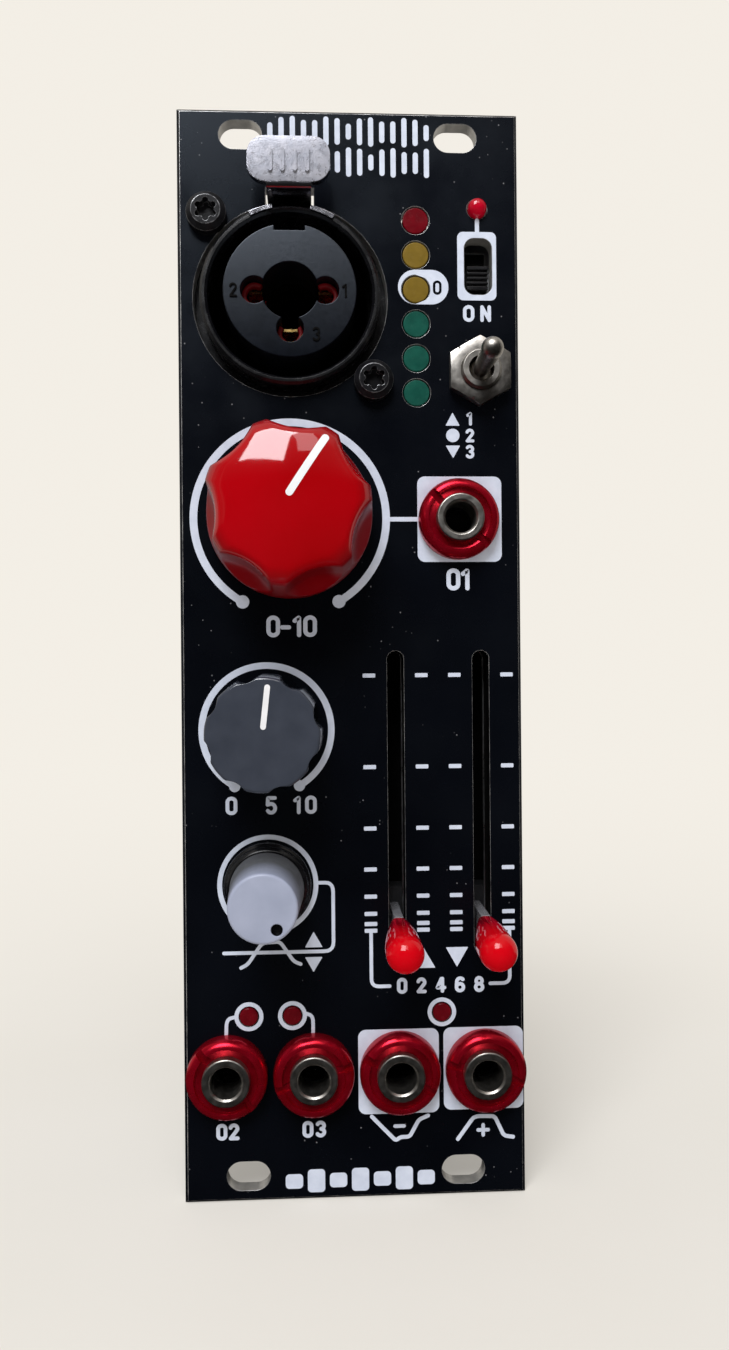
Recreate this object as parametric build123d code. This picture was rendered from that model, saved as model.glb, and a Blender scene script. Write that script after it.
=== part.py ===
from build123d import *

import os
from math import cos, radians, sin

# Eurorack instrument interface, eight units wide, in millimetres.
# X runs to the right and Z up along the panel, as it hangs in its case. The panel's rear face
# seats on the rails at y = 0 and its front face looks along -Y. The origin is the centre of
# the four rail slots. A height is a distance in front of the panel's front face, and a rise
# is a distance above the axis of the combined socket. Shares that place a thing across the
# panel are of one unit of the case's width.

# Angles and counts of all shapes
full_turn = 360
half_turn = 180
hexagon_sides = 6
hexagon_corner_share = 1 / cos(radians(half_turn / hexagon_sides))

# Clearances
running_clearance = 0.05
hole_clearance = 0.15
lever_clearance = 0.3
overrun = 1.0

# Front panel
unit_width = 5.08
panel_units = 8
panel_side_gap = 0.34
panel_width = panel_units * unit_width - panel_side_gap
panel_height = 128.5
panel_thickness = 2.0
panel_edge = 0.35
rail_units = 5
rail_spacing_x = rail_units * unit_width
rail_inset = 3.0
rail_spacing_z = panel_height - 2 * rail_inset
rail_slot_length = 5.1
rail_slot_width = 3.4

# Boards behind the panel
board_inset = 1.15
board_width = panel_width - 2 * board_inset
board_height = 108.0
board_corner = 1.0
board_thickness = 1.6
board_stand = 10.0
board_gap = 11.0

# Combined socket, about its axis
combo_x_share = -1.368
combo_z = 41.9
flange_units = 5
flange_side = flange_units * unit_width
flange_thickness = 3.0
flange_corner = 2.0
combo_hole_margin = 1.25
combo_hole_radius = flange_side / 2 - combo_hole_margin
bezel_gap = 0.95
bezel_radius = combo_hole_radius - bezel_gap
bezel_wall = 0.9
bezel_bore_radius = bezel_radius - bezel_wall
bezel_proud = 1.9
bezel_lip = 0.3
shell_gap = 1.9
insert_radius = bezel_bore_radius - shell_gap
insert_proud = 3.0
insert_depth = 1.5
big_bore_radius = 3.25
contact_hole_share = 0.2013
contact_reach_share = 0.5325
contact_drop_share = 0.5714
contact_hole_radius = insert_radius * contact_hole_share
contact_reach = insert_radius * contact_reach_share
contact_drop = insert_radius * contact_drop_share
keyway_width = 3.5
keyway_depth = 0.8
carrier_step = 0.3
carrier_radius = insert_radius - carrier_step
contact_hole_step = 0.25
carrier_hole_radius = contact_hole_radius - contact_hole_step
housing_side_margin = 1.7
housing_end_margin = 1.2
housing_width = flange_side - 2 * housing_side_margin
housing_height = flange_side - 2 * housing_end_margin
housing_corner = 2.0
housing_wall = 1.4
contact_width_share = 1.23
contact_lift_share = 0.46
contact_width = carrier_hole_radius * contact_width_share
contact_lift = carrier_hole_radius * contact_lift_share
contact_thickness = 0.3
contact_recess = 2.6
spring_slot_width = 2.4
spring_slot_depth = 1.15
spring_width = 1.8
spring_radius = big_bore_radius + spring_slot_depth
spring_start = flange_thickness + 2 * overrun
spring_turns = (45, 225, 315)
clip_width = 0.55
clip_inner_radius = bezel_radius - clip_width
clip_ear_height = 0.25
clip_depth = 1.5
clip_start_angles = (60, 101)
clip_end_angles = (76, 117)
combo_screw_inset = 3.0
combo_screw_offset = flange_side / 2 - combo_screw_inset
combo_screw_radius = 1.4
combo_screw_brim = 0.92
combo_screw_head_radius = combo_screw_radius + combo_screw_brim
combo_screw_head_height = 1.9
combo_screw_dome = 0.6
six_lobe_radius = 1.35
six_lobe_depth = 1.2
six_lobe_core_share = 0.72
six_lobe_tip_share = 0.25
lobe_count = 6

# Push tab of the plug latch
neck_width = 5.1
neck_inset = 1.5
neck_rise = flange_side / 2 - neck_inset
neck_bend = 0.6
tab_width = 9.5
tab_bottom_lift = 0.6
tab_bottom_rise = neck_rise + tab_bottom_lift
tab_length = 5.1
tab_top_rise = tab_bottom_rise + tab_length
tab_height = 4.3
tab_sheet = 0.8
tab_corner = 2.0
hook_setback = 1.3
latch_hook_depth = flange_thickness + hook_setback
hook_drop = 2.5
pivot_setback = 5.0
latch_pivot_depth = flange_thickness + pivot_setback
latch_pivot_radius = 0.6
latch_tail = 1.8
latch_rear = latch_pivot_depth + latch_tail
latch_travel_room = 1.2
pivot_lug_width = 1.6
pivot_lug_length = 3.0
pivot_lug_lift = 1.4
pivot_lug_rise = neck_rise + pivot_lug_lift
latch_spring_radius = 0.8
latch_spring_wall = 0.25
latch_spring_seat = 0.6
latch_spring_room = 0.2

# Level lamps, the first at the top
level_lamp_top_z = 51.42
level_lamp_pitch = 4.085
level_lamp_count = 6
red_level_lamps = 1
warm_level_lamps = 3
level_lamp_radius = 1.535
level_lamp_gap = 0.145
level_lamp_hole_radius = level_lamp_radius + level_lamp_gap
level_lamp_rim = 0.22
level_lamp_rim_radius = level_lamp_hole_radius + level_lamp_rim
level_lamp_side_gap = 0.25
level_lamp_length = 5.4
lamp_rim_length = 0.8

# Small lamps
phantom_lamp_x_share = 3.004
phantom_lamp_z = 52.87
phantom_lamp_radius = 1.12
phantom_lamp_proud = 1.2
status_lamp_x_shares = (-2.467, -1.461, 2.024)
status_lamp_z = -42.5
status_lamp_radius = 1.08
status_lamp_proud = 0.25
small_lamp_length = 4.6
small_lamp_gap = 0.1
small_lamp_round_share = 0.85
lead_side = 0.45
lead_pitch = 1.27

# Slide switch in its window
window_x_share = 3.022
window_z = 46.05
slider_width = 2.5
slider_height = 2.8
slider_travel = 2.4
slider_sunk = 0.4
slider_rib_count = 5
slider_rib_share = 0.5
slider_rib_depth = 0.35
window_side_gap = 0.4
window_end_gap = 0.75
window_width = slider_width + 2 * window_side_gap
window_height = slider_height + slider_travel + 2 * window_end_gap
window_corner = 1.2
slide_carrier_margin = 0.85
slide_carrier_width = slider_width + 2 * slide_carrier_margin
slide_carrier_end = 1.7
slide_carrier_height = slider_height + 2 * slide_carrier_end
slide_frame_wall = 0.3
slide_frame_room = 0.2
slide_frame_end_room = 0.9
slide_frame_width = slide_carrier_width + 2 * (slide_frame_wall + slide_frame_room)
slide_frame_height = slide_carrier_height + slider_travel + 2 * (slide_frame_wall + slide_frame_end_room)
slide_frame_depth = 1.4
slide_base_depth = 5.4

# Toggle switch
toggle_x_share = 3.012
toggle_z = 33.3
toggle_bore_radius = 1.6
toggle_bushing_wall = 0.8
toggle_bushing_radius = toggle_bore_radius + toggle_bushing_wall
toggle_bushing_proud = 2.4
toggle_lip = 0.5
toggle_lip_reach = 0.1
toggle_mouth_radius = toggle_bore_radius - toggle_lip_reach
toggle_ball_radius = toggle_bore_radius - running_clearance
toggle_pivot_proud = 0.2
toggle_neck_radius = 0.8
toggle_bat_radius = 1.24
toggle_reach = 10.6
toggle_tail_radius = 0.5
toggle_tail_depth = 3.4
toggle_nut_wall = 1.15
toggle_nut_flats = 2 * (toggle_bushing_radius + toggle_nut_wall)
toggle_nut_height = 1.5
toggle_nut_corner = 0.3
toggle_washer_wall = 0.8
toggle_washer_radius = toggle_bushing_radius + toggle_washer_wall
toggle_washer_height = 0.4
toggle_body_margin = 0.3
toggle_body_width = 2 * (toggle_bushing_radius + toggle_body_margin)
toggle_body_height = 8.4
toggle_body_front = 1.4
toggle_body_wall = 0.9

# Small sockets: the output by itself, then the bottom row
output_x_share = 2.5
output_z = 15.9
jack_row_x_share = 0.027
jack_row_z = -49.35
jack_row_count = 4
jack_units = 2
jack_pitch = jack_units * unit_width
jack_bore_radius = 1.8
jack_barrel_wall = 1.0
jack_barrel_radius = jack_bore_radius + jack_barrel_wall
jack_barrel_proud = 2.6
jack_lead_in = 0.25
jack_nut_gap = 0.64
jack_nut_radius = (jack_pitch - jack_nut_gap) / 2
jack_nut_height = 2.1
jack_nut_slot_width = 0.9
jack_nut_slot_depth = 0.75
jack_body_gap = 1.16
jack_body_width = jack_pitch - jack_body_gap
jack_body_height = 10.4
jack_body_wall = 1.0
jack_front_wall = 1.2
jack_spring_width = 2.2
jack_spring_thickness = 0.3
jack_spring_gap = 0.5
jack_spring_offset = jack_bore_radius + jack_spring_gap
jack_nut_shares = (
    (1.0, 0.0), (1.0, 0.56), (0.965, 0.8), (0.89, 0.95),
    (0.82, 1.0), (0.785, 1.0), (0.765, 0.8),
)
jack_nut_dish_share = 0.66
jack_nut_turns = (-43.0, -47.0, 17.0, -28.0, -15.0)

# Potentiometers, all of one kind
gain_x_share = -1.415
gain_z = 16.09
envelope_x_share = -2.0
envelope_z = -8.83
polarity_x_share = -2.002
polarity_z = -27.05
pot_width = 9.8
pot_height = 10.6
pot_front = 3.4
pot_wall = 0.6
shaft_radius = 3.0
shaft_flat = 1.5
shaft_flat_length = 5.5
bushing_wall = 0.5
bushing_radius = shaft_radius + bushing_wall
bushing_proud = 4.0
bushing_collar = 1.0
bushing_collar_radius = bushing_radius + bushing_collar
bushing_collar_depth = 0.8
rotor_gap = 0.2
rotor_radius = pot_width / 2 - pot_wall - rotor_gap
rotor_depth = 1.8
track_depth = 1.0
wiper_width = 1.2
wiper_length = 3.4
nut_wall = 1.0
nut_flats = 2 * (bushing_radius + nut_wall)
nut_height = 2.0
nut_corner = 0.4
washer_wall = 1.6
washer_radius = bushing_radius + washer_wall
washer_height = 0.5
knob_recess_gap = 0.154
knob_recess_radius = nut_flats / 2 * hexagon_corner_share + knob_recess_gap
knob_recess_room = 0.4
knob_recess_height = bushing_proud + knob_recess_room
shaft_recess_radius = bushing_radius + hole_clearance

# Gain knob
gain_turn = 32.6
gain_wall = 4.2
gain_radius = knob_recess_radius + gain_wall
gain_washer_gap = 0.3
gain_base_rise = washer_height + gain_washer_gap
gain_skirt_height = 1.7
gain_taper = 0.5
gain_shoulder_radius = gain_radius - gain_taper
gain_top_height = 15.0
gain_dome_radius = 30.0
gain_shoulder_fillet = 3.0
gain_flute_count = 7
gain_flute_radius = 4.5
gain_flute_bite = 1.7
gain_flute_reach = gain_radius - gain_flute_bite + gain_flute_radius
gain_crown = 3.6
gain_shaft_height = gain_top_height - gain_crown
gain_pointer_width = 0.8
gain_pointer_inset = 1.15
gain_pointer_length = gain_shoulder_radius - gain_pointer_inset
gain_pointer_web = 0.5
gain_pointer_floor = gain_shaft_height + gain_pointer_web

# Envelope knob
envelope_turn = 6.4
envelope_wall = 1.37
envelope_radius = knob_recess_radius + envelope_wall
envelope_taper = 0.42
envelope_top_radius = envelope_radius - envelope_taper
envelope_washer_gap = 0.2
envelope_base_rise = washer_height + envelope_washer_gap
envelope_top_height = 10.3
envelope_top_fillet = 0.7
envelope_scallop_count = 8
envelope_scallop_radius = 1.9
envelope_scallop_bite = 0.77
envelope_scallop_reach = envelope_radius - envelope_scallop_bite + envelope_scallop_radius
envelope_crown = 2.6
envelope_shaft_height = envelope_top_height - envelope_crown
envelope_pointer_width = 0.62
envelope_pointer_start = 0.6
envelope_pointer_inset = 0.8
envelope_pointer_end = envelope_top_radius - envelope_pointer_inset
envelope_pointer_depth = 0.5

# Polarity knob over its round nut
round_nut_wall = 1.6
round_nut_radius = bushing_radius + round_nut_wall
round_nut_height = 2.2
round_nut_groove = 0.35
polarity_turn = 146.3
polarity_wall = 0.65
polarity_radius = shaft_recess_radius + polarity_wall
polarity_taper = 0.55
polarity_top_radius = polarity_radius - polarity_taper
polarity_nut_gap = 0.5
polarity_base_rise = round_nut_height + polarity_nut_gap
polarity_top_height = 12.4
polarity_top_fillet = 0.35
polarity_crown = 2.6
polarity_shaft_height = polarity_top_height - polarity_crown
polarity_dot_radius = 0.62
polarity_dot_inset = 1.08
polarity_dot_reach = polarity_top_radius - polarity_dot_inset
polarity_dot_depth = 0.6

# Faders
fader_x_shares = (1.0, 3.0)
fader_low_z = -32.7
fader_travel = 30.2
fader_lever_thickness = 1.1
fader_lever_width = 4.2
fader_lever_shoulder = 2.2
fader_tongue_width = 2.7
fader_tongue_reach = 6.4
fader_slot_side_gap = 0.45
fader_slot_width = fader_lever_thickness + 2 * fader_slot_side_gap
fader_slot_margin = 0.8
fader_case_gap = 1.16
fader_case_width = jack_units * unit_width - fader_case_gap
fader_case_front = 3.0
fader_case_wall = 0.5
fader_carriage_length = 8.0
fader_end_room = 2.9
fader_case_length = fader_travel + fader_carriage_length + 2 * (fader_case_wall + fader_end_room)
fader_track_depth = 1.0
fader_carriage_depth = 3.2
fader_wiper_width = 1.0
cap_radius = 2.1
cap_foot_height = fader_lever_shoulder
cap_length = 8.0
cap_shares = ((0.0, 0.45, 0.93), (0.3, 0.67, 1.0), (0.65, 0.88, 1.05), (1.0, 1.0, 1.0))

# Headers between the boards
link_count = 10
link_pitch = 2.54
link_gap = 0.04
link_width = link_pitch - link_gap
link_base_height = 2.5
link_inset = 1.8
link_x = board_width / 2 - link_inset
link_z = -6.0
pin_side = 0.64
pin_reach = 6.0

# Pillars between the boards
pillar_inset = 2.9
pillar_x = board_width / 2 - pillar_inset
pillar_top_share = 0.4537
pillar_low_share = -0.7037
pillar_top_z = pillar_top_share * board_height / 2
pillar_low_z = pillar_low_share * board_height / 2
pillar_bore_radius = 1.25
pillar_wall = 1.25
pillar_flats = 2 * (pillar_bore_radius + pillar_wall)
pillar_screw_brim = 1.05
pillar_screw_head_radius = pillar_bore_radius + pillar_screw_brim
pillar_screw_head_height = 1.6
pillar_screw_length = 4.5
driver_slot_width = 0.7
driver_slot_depth = 0.7

# Power header on the rear of the main board
power_pin_count = 5
shroud_end_margin = 3.85
shroud_side_margin = 3.23
shroud_length = power_pin_count * link_pitch + 2 * shroud_end_margin
shroud_width = link_pitch + 2 * shroud_side_margin
shroud_height = 9.2
shroud_wall = 1.1
shroud_floor = 2.0
shroud_inset = 14.0
shroud_z = shroud_inset - board_height / 2
shroud_key_width = 4.5
power_pin_drop = 1.2
power_pin_reach = shroud_height - power_pin_drop

# Amplifier packages on the rear of the main board, at shares of its half sizes
package_shares = (
    (-0.55, 0.62), (0.05, 0.62), (0.62, 0.62),
    (-0.55, 0.26), (0.05, 0.26), (0.62, 0.26),
    (-0.55, -0.1), (0.62, -0.1),
)
package_width = 3.9
package_thickness = 1.5
package_stand = 0.1
package_lead_count = 7
package_lead_pitch = 1.27
package_end_cut = 0.29
package_height = package_lead_count * package_lead_pitch - package_end_cut
package_lead_width = 0.4
package_lead_length = 1.0
package_lead_thickness = 0.25

# Capacitor cans on the rear of the main board, and their bases
can_pitch_share = 0.38
can_shares = (
    (-0.8, 0.88), (-0.42, 0.88), (0.42, 0.88), (0.8, 0.88),
    (0.02, -0.14), (-0.78, -0.36), (0.78, -0.36),
)
can_gap = 0.62
can_base_side = can_pitch_share * board_width / 2 - can_gap
can_brim = 0.3
can_radius = can_base_side / 2 - can_brim
can_height = 5.4
can_groove = 0.25
can_groove_height = 1.0
can_base = 1.0
can_fillet = 0.4

# Chip parts, in short columns beside the packages, at shares of the board's half sizes
chip_column_shares = (-0.93, -0.25, 0.335, 0.93)
chip_row_shares = (0.74, 0.68, 0.56, 0.535, 0.36, 0.3, 0.2, 0.14, 0.0, -0.06, -0.2, -0.26)
chip_low_column_shares = (-0.5, -0.25, 0.25, 0.5)
chip_shroud_gap = 4.1
chip_shroud_pitch = 2.7
chip_length = 1.9
chip_width = 1.15
chip_thickness = 0.6

# Control terminals between the controls and the control board
terminal_side = 0.8
terminal_gap = 0.9

# Places that follow from the sizes above
front_y = -panel_thickness
control_y = board_stand
control_rear_y = control_y + board_thickness
main_y = control_rear_y + board_gap
main_rear_y = main_y + board_thickness
combo_x = combo_x_share * unit_width
gain_x = gain_x_share * unit_width
envelope_x = envelope_x_share * unit_width
polarity_x = polarity_x_share * unit_width
toggle_x = toggle_x_share * unit_width
window_x = window_x_share * unit_width
phantom_lamp_x = phantom_lamp_x_share * unit_width
level_lamp_x = combo_x + flange_side / 2 + level_lamp_side_gap + level_lamp_rim_radius
level_lamp_zs = [level_lamp_top_z - level_lamp_pitch * i for i in range(level_lamp_count)]
status_lamp_places = [(share * unit_width, status_lamp_z) for share in status_lamp_x_shares]
fader_xs = [share * unit_width for share in fader_x_shares]
fader_mid_z = fader_low_z + fader_travel / 2
pot_places = [(gain_x, gain_z), (envelope_x, envelope_z), (polarity_x, polarity_z)]
pillar_places = [(-pillar_x, pillar_top_z), (-pillar_x, pillar_low_z), (pillar_x, pillar_top_z)]
jack_row_x = jack_row_x_share * unit_width - (jack_row_count - 1) / 2 * jack_pitch
jack_places = [(output_x_share * unit_width, output_z)]
jack_places += [(jack_row_x + jack_pitch * i, jack_row_z) for i in range(jack_row_count)]


def facing(x, z, y):
    """Plane at depth y whose normal looks out of the panel's front."""
    return Plane(origin=(x, y, z), x_dir=(1, 0, 0), z_dir=(0, -1, 0))


def proud(height):
    """Y of a height in front of the panel's front face."""
    return front_y - height


def prism(outline, x, z, y_rear, y_front):
    """Solid that carries an outline, drawn about (x, z), from y_rear forward to y_front."""
    return extrude(facing(x, z, y_rear) * outline, amount=y_rear - y_front)


def rod(x, z, radius, y_rear, y_front):
    return prism(Circle(radius), x, z, y_rear, y_front)


def tube(x, z, outer, inner, y_rear, y_front):
    return prism(Circle(outer) - Circle(inner), x, z, y_rear, y_front)


def block(x, z, width, height, y_rear, y_front, corner=0):
    outline = RectangleRounded(width, height, corner) if corner else Rectangle(width, height)
    return prism(outline, x, z, y_rear, y_front)


def turned(points, x, z, y):
    """Solid of revolution about the axis at (x, z) from points of radius and height before y."""
    side = Plane(origin=(x, y, z), x_dir=(1, 0, 0), z_dir=(0, 0, -1))
    profile = make_face(Polyline(*points, close=True))
    return revolve(side * profile, axis=Axis((x, y, z), (0, -1, 0)))


def hexagon(flats):
    """Hexagon outline with flats left and right, by its size across flats."""
    outline = RegularPolygon(flats / 2 * hexagon_corner_share, hexagon_sides)
    return Rot(0, 0, half_turn / hexagon_sides) * outline


def hex_nut(x, z, flats, bore, y_rear, y_front, corner):
    """Hexagon nut whose front corners are turned off."""
    across_corners = flats / 2 * hexagon_corner_share
    height = y_rear - y_front
    points = [(bore, 0), (across_corners, 0), (across_corners, height - corner),
              (flats / 2 - corner, height), (bore, height)]
    return prism(hexagon(flats), x, z, y_rear, y_front) & turned(points, x, z, y_rear)


def group(pieces):
    """Separate solids that share one node."""
    return Compound([solid for piece in pieces for solid in piece.solids()])


def polar(reach, turn):
    """Offset in x and z at a reach from an axis, turned clockwise from up."""
    return reach * sin(radians(turn)), reach * cos(radians(turn))


def shaft_outline(turn):
    """Round shaft with one flat, turned clockwise with its knob."""
    side = 2 * shaft_radius
    flat = Pos(0, -shaft_flat - side / 2) * Rectangle(side, side)
    return Rot(0, 0, -turn) * (Circle(shaft_radius) - flat)


def board_outline():
    """Both boards' common outline."""
    return RectangleRounded(board_width, board_height, board_corner)


def front_panel():
    panel = block(0, 0, panel_width, panel_height, 0, front_y)
    panel = chamfer(panel.faces().sort_by(Axis.Y)[0].edges(), panel_edge)
    cuts = []
    for side_x in (-1, 1):
        for side_z in (-1, 1):
            slot = SlotOverall(rail_slot_length, rail_slot_width)
            x = side_x * rail_spacing_x / 2
            z = side_z * rail_spacing_z / 2
            cuts.append(prism(slot, x, z, overrun, proud(overrun)))
    cuts.append(rod(combo_x, combo_z, combo_hole_radius, overrun, proud(overrun)))
    notch_width = neck_width + 2 * lever_clearance
    notch_rise = neck_rise + tab_sheet + latch_travel_room
    cuts.append(block(combo_x, combo_z + notch_rise / 2, notch_width, notch_rise, overrun, proud(overrun)))
    for x, z in combo_screw_places():
        cuts.append(rod(x, z, combo_screw_radius + hole_clearance, overrun, proud(overrun)))
    for z in level_lamp_zs:
        cuts.append(rod(level_lamp_x, z, level_lamp_hole_radius, overrun, proud(overrun)))
    small_hole = phantom_lamp_radius + small_lamp_gap
    cuts.append(rod(phantom_lamp_x, phantom_lamp_z, small_hole, overrun, proud(overrun)))
    for x, z in status_lamp_places:
        cuts.append(rod(x, z, status_lamp_radius + small_lamp_gap, overrun, proud(overrun)))
    cuts.append(block(window_x, window_z, window_width, window_height, overrun, proud(overrun),
                      window_corner))
    cuts.append(rod(toggle_x, toggle_z, toggle_bushing_radius + hole_clearance, overrun, proud(overrun)))
    for x, z in jack_places:
        cuts.append(rod(x, z, jack_barrel_radius + hole_clearance, overrun, proud(overrun)))
    for x, z in pot_places:
        cuts.append(rod(x, z, bushing_radius + hole_clearance, overrun, proud(overrun)))
    for x in fader_xs:
        cuts.append(prism(fader_slot_outline(), x, fader_mid_z, overrun, proud(overrun)))
    return panel - cuts


def combo_screw_places():
    """The upper left and the lower right corner of the socket."""
    return [(combo_x + side * combo_screw_offset, combo_z - side * combo_screw_offset) for side in (-1, 1)]


def contact_places():
    """The left, right and lower contact of the combined socket, from its axis."""
    return [(-contact_reach, 0), (contact_reach, 0), (0, -contact_drop)]


def latch_slot(y_rear, y_front):
    """Open slot above the socket in which the latch lever swings."""
    width = neck_width + 2 * lever_clearance
    floor = neck_rise - lever_clearance
    return block(combo_x, combo_z + floor + flange_side / 2, width, flange_side, y_rear, y_front)


def combo_bezel():
    ring = tube(combo_x, combo_z, bezel_radius, bezel_bore_radius, flange_thickness, proud(bezel_proud))
    ring = chamfer(ring.faces().sort_by(Axis.Y)[0].edges(), bezel_lip)
    flange = block(combo_x, combo_z, flange_side, flange_side, flange_thickness, 0, flange_corner)
    flange -= rod(combo_x, combo_z, bezel_bore_radius, flange_thickness, -overrun)
    bezel = ring + flange - latch_slot(flange_thickness + overrun, -overrun)
    for x, z in combo_screw_places():
        bezel -= rod(x, z, combo_screw_radius, flange_thickness + overrun, -overrun)
    clip_seat = tube(combo_x, combo_z, bezel_radius + overrun, clip_inner_radius,
                     proud(bezel_proud) + clip_depth, proud(bezel_proud + overrun))
    return bezel - (clip_seat & clip_sector(clip_start_angles[0], clip_end_angles[-1], bezel_proud + overrun))


def clip_sector(start, end, height):
    """Wedge about the socket's axis between two angles, counted from +X towards up."""
    reach = 2 * bezel_radius
    arc = CenterArc((0, 0), reach, start, end - start)
    wedge = make_face([arc, Line((0, 0), arc @ 0), Line(arc @ 1, (0, 0))])
    return prism(wedge, combo_x, combo_z, proud(bezel_proud) + clip_depth, proud(height))


def combo_clip():
    """Bright metal clip let into the ring's upper edge, with two raised ears."""
    base_y = proud(bezel_proud) + clip_depth
    low = tube(combo_x, combo_z, bezel_radius, clip_inner_radius, base_y, proud(bezel_proud) + clip_depth / 2)
    low = low & clip_sector(clip_start_angles[0], clip_end_angles[-1], bezel_proud + overrun)
    ear_y = proud(bezel_proud + clip_ear_height)
    tall = tube(combo_x, combo_z, bezel_radius, clip_inner_radius, base_y, ear_y)
    ears = [tall & clip_sector(start, end, bezel_proud + overrun)
            for start, end in zip(clip_start_angles, clip_end_angles)]
    return low + ears


def combo_insert():
    insert = rod(combo_x, combo_z, insert_radius, insert_depth, proud(insert_proud))
    cuts = [rod(combo_x, combo_z, big_bore_radius, insert_depth + overrun, proud(insert_proud + overrun))]
    for dx, dz in contact_places():
        cuts.append(rod(combo_x + dx, combo_z + dz, contact_hole_radius, insert_depth + overrun,
                        proud(insert_proud + overrun)))
    cuts.append(block(combo_x, combo_z + insert_radius, keyway_width, 2 * keyway_depth,
                      insert_depth + overrun, proud(insert_proud + overrun)))
    return insert - cuts


def spring_strip(width, thickness, reach, turn, y_rear, y_front):
    """Strip along Y at a reach from the socket's axis, broad side to the axis."""
    dx, dz = polar(reach, turn)
    outline = Rot(0, 0, -turn) * Rectangle(width, thickness)
    return prism(outline, combo_x + dx, combo_z + dz, y_rear, y_front)


def combo_carrier():
    rear = main_y - housing_wall
    carrier = rod(combo_x, combo_z, carrier_radius, rear, insert_depth)
    cuts = [rod(combo_x, combo_z, big_bore_radius, rear - housing_wall, insert_depth - overrun)]
    for dx, dz in contact_places():
        cuts.append(rod(combo_x + dx, combo_z + dz, carrier_hole_radius, rear + overrun,
                        insert_depth - overrun))
    for turn in spring_turns:
        cuts.append(spring_strip(spring_slot_width, spring_slot_depth, spring_radius, turn, rear + overrun,
                                 spring_start))
    return carrier - cuts


def combo_contacts():
    """Three gold strips, each with a tail to the main board."""
    pieces = []
    for dx, dz in contact_places():
        x = combo_x + dx
        z = combo_z + dz + contact_lift
        pieces.append(block(x, z, contact_width, contact_thickness, main_y,
                            proud(insert_proud) + contact_recess))
    return group(pieces)


def combo_jack_springs():
    pieces = []
    for turn in spring_turns:
        pieces.append(spring_strip(spring_width, contact_thickness, spring_radius, turn, main_y,
                                   spring_start + contact_thickness))
    return group(pieces)


def combo_housing():
    housing = block(combo_x, combo_z, housing_width, housing_height, main_y, flange_thickness, housing_corner)
    cavity = rod(combo_x, combo_z, bezel_bore_radius, main_y - housing_wall, flange_thickness - overrun)
    lug_x = neck_width / 2 + lever_clearance + pivot_lug_width / 2
    lugs = []
    for side in (-1, 1):
        rise = pivot_lug_rise - housing_corner
        lugs.append(block(combo_x + side * lug_x, combo_z + rise / 2, pivot_lug_width, rise,
                          latch_pivot_depth + pivot_lug_length / 2, latch_pivot_depth - pivot_lug_length / 2))
        lugs[-1] = Pos(0, 0, housing_corner) * lugs[-1]
    housing = housing + lugs - cavity
    housing -= latch_slot(latch_rear + 2 * lever_clearance, flange_thickness - overrun)
    hook_width = neck_width + 2 * lever_clearance
    hook_room = tab_sheet + 2 * lever_clearance
    housing -= block(combo_x, combo_z + neck_rise / 2, hook_width, neck_rise,
                     latch_hook_depth + hook_room / 2 + lever_clearance, latch_hook_depth - hook_room / 2)
    pocket_depth = latch_spring_seat + overrun
    pocket = Cylinder(latch_spring_radius + running_clearance, pocket_depth)
    housing -= latch_spring_place(pocket_depth) * pocket
    pin = Cylinder(latch_pivot_radius + running_clearance, 2 * (lug_x + pivot_lug_width))
    housing -= Pos(combo_x, latch_pivot_depth, pivot_z()) * Rot(0, half_turn / 2, 0) * pin
    for dx, dz in contact_places():
        housing -= block(combo_x + dx, combo_z + dz + contact_lift, contact_width, contact_thickness,
                         main_y + overrun, main_y - housing_wall - overrun)
    for turn in spring_turns:
        housing -= spring_strip(spring_width, contact_thickness, spring_radius, turn, main_y + overrun,
                                main_y - housing_wall - overrun)
    return housing


def pivot_z():
    """Height of the latch lever's pivot, in the middle of its sheet."""
    return combo_z + neck_rise + tab_sheet / 2


def combo_screws():
    pieces = []
    for x, z in combo_screw_places():
        rim = combo_screw_head_height - combo_screw_dome
        head = turned([(0, 0), (combo_screw_head_radius, 0), (combo_screw_head_radius, rim),
                       (combo_screw_head_radius - combo_screw_dome, combo_screw_head_height),
                       (0, combo_screw_head_height)], x, z, front_y)
        bit = Circle(six_lobe_radius * six_lobe_core_share)
        for i in range(lobe_count):
            dx, dz = polar(six_lobe_radius * (1 - six_lobe_tip_share), i * full_turn / lobe_count)
            bit += Pos(dx, dz) * Circle(six_lobe_radius * six_lobe_tip_share)
        head -= prism(bit, x, z, proud(combo_screw_head_height - six_lobe_depth),
                      proud(combo_screw_head_height + overrun))
        pieces.append(head + rod(x, z, combo_screw_radius, flange_thickness, front_y))
    return group(pieces)


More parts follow.
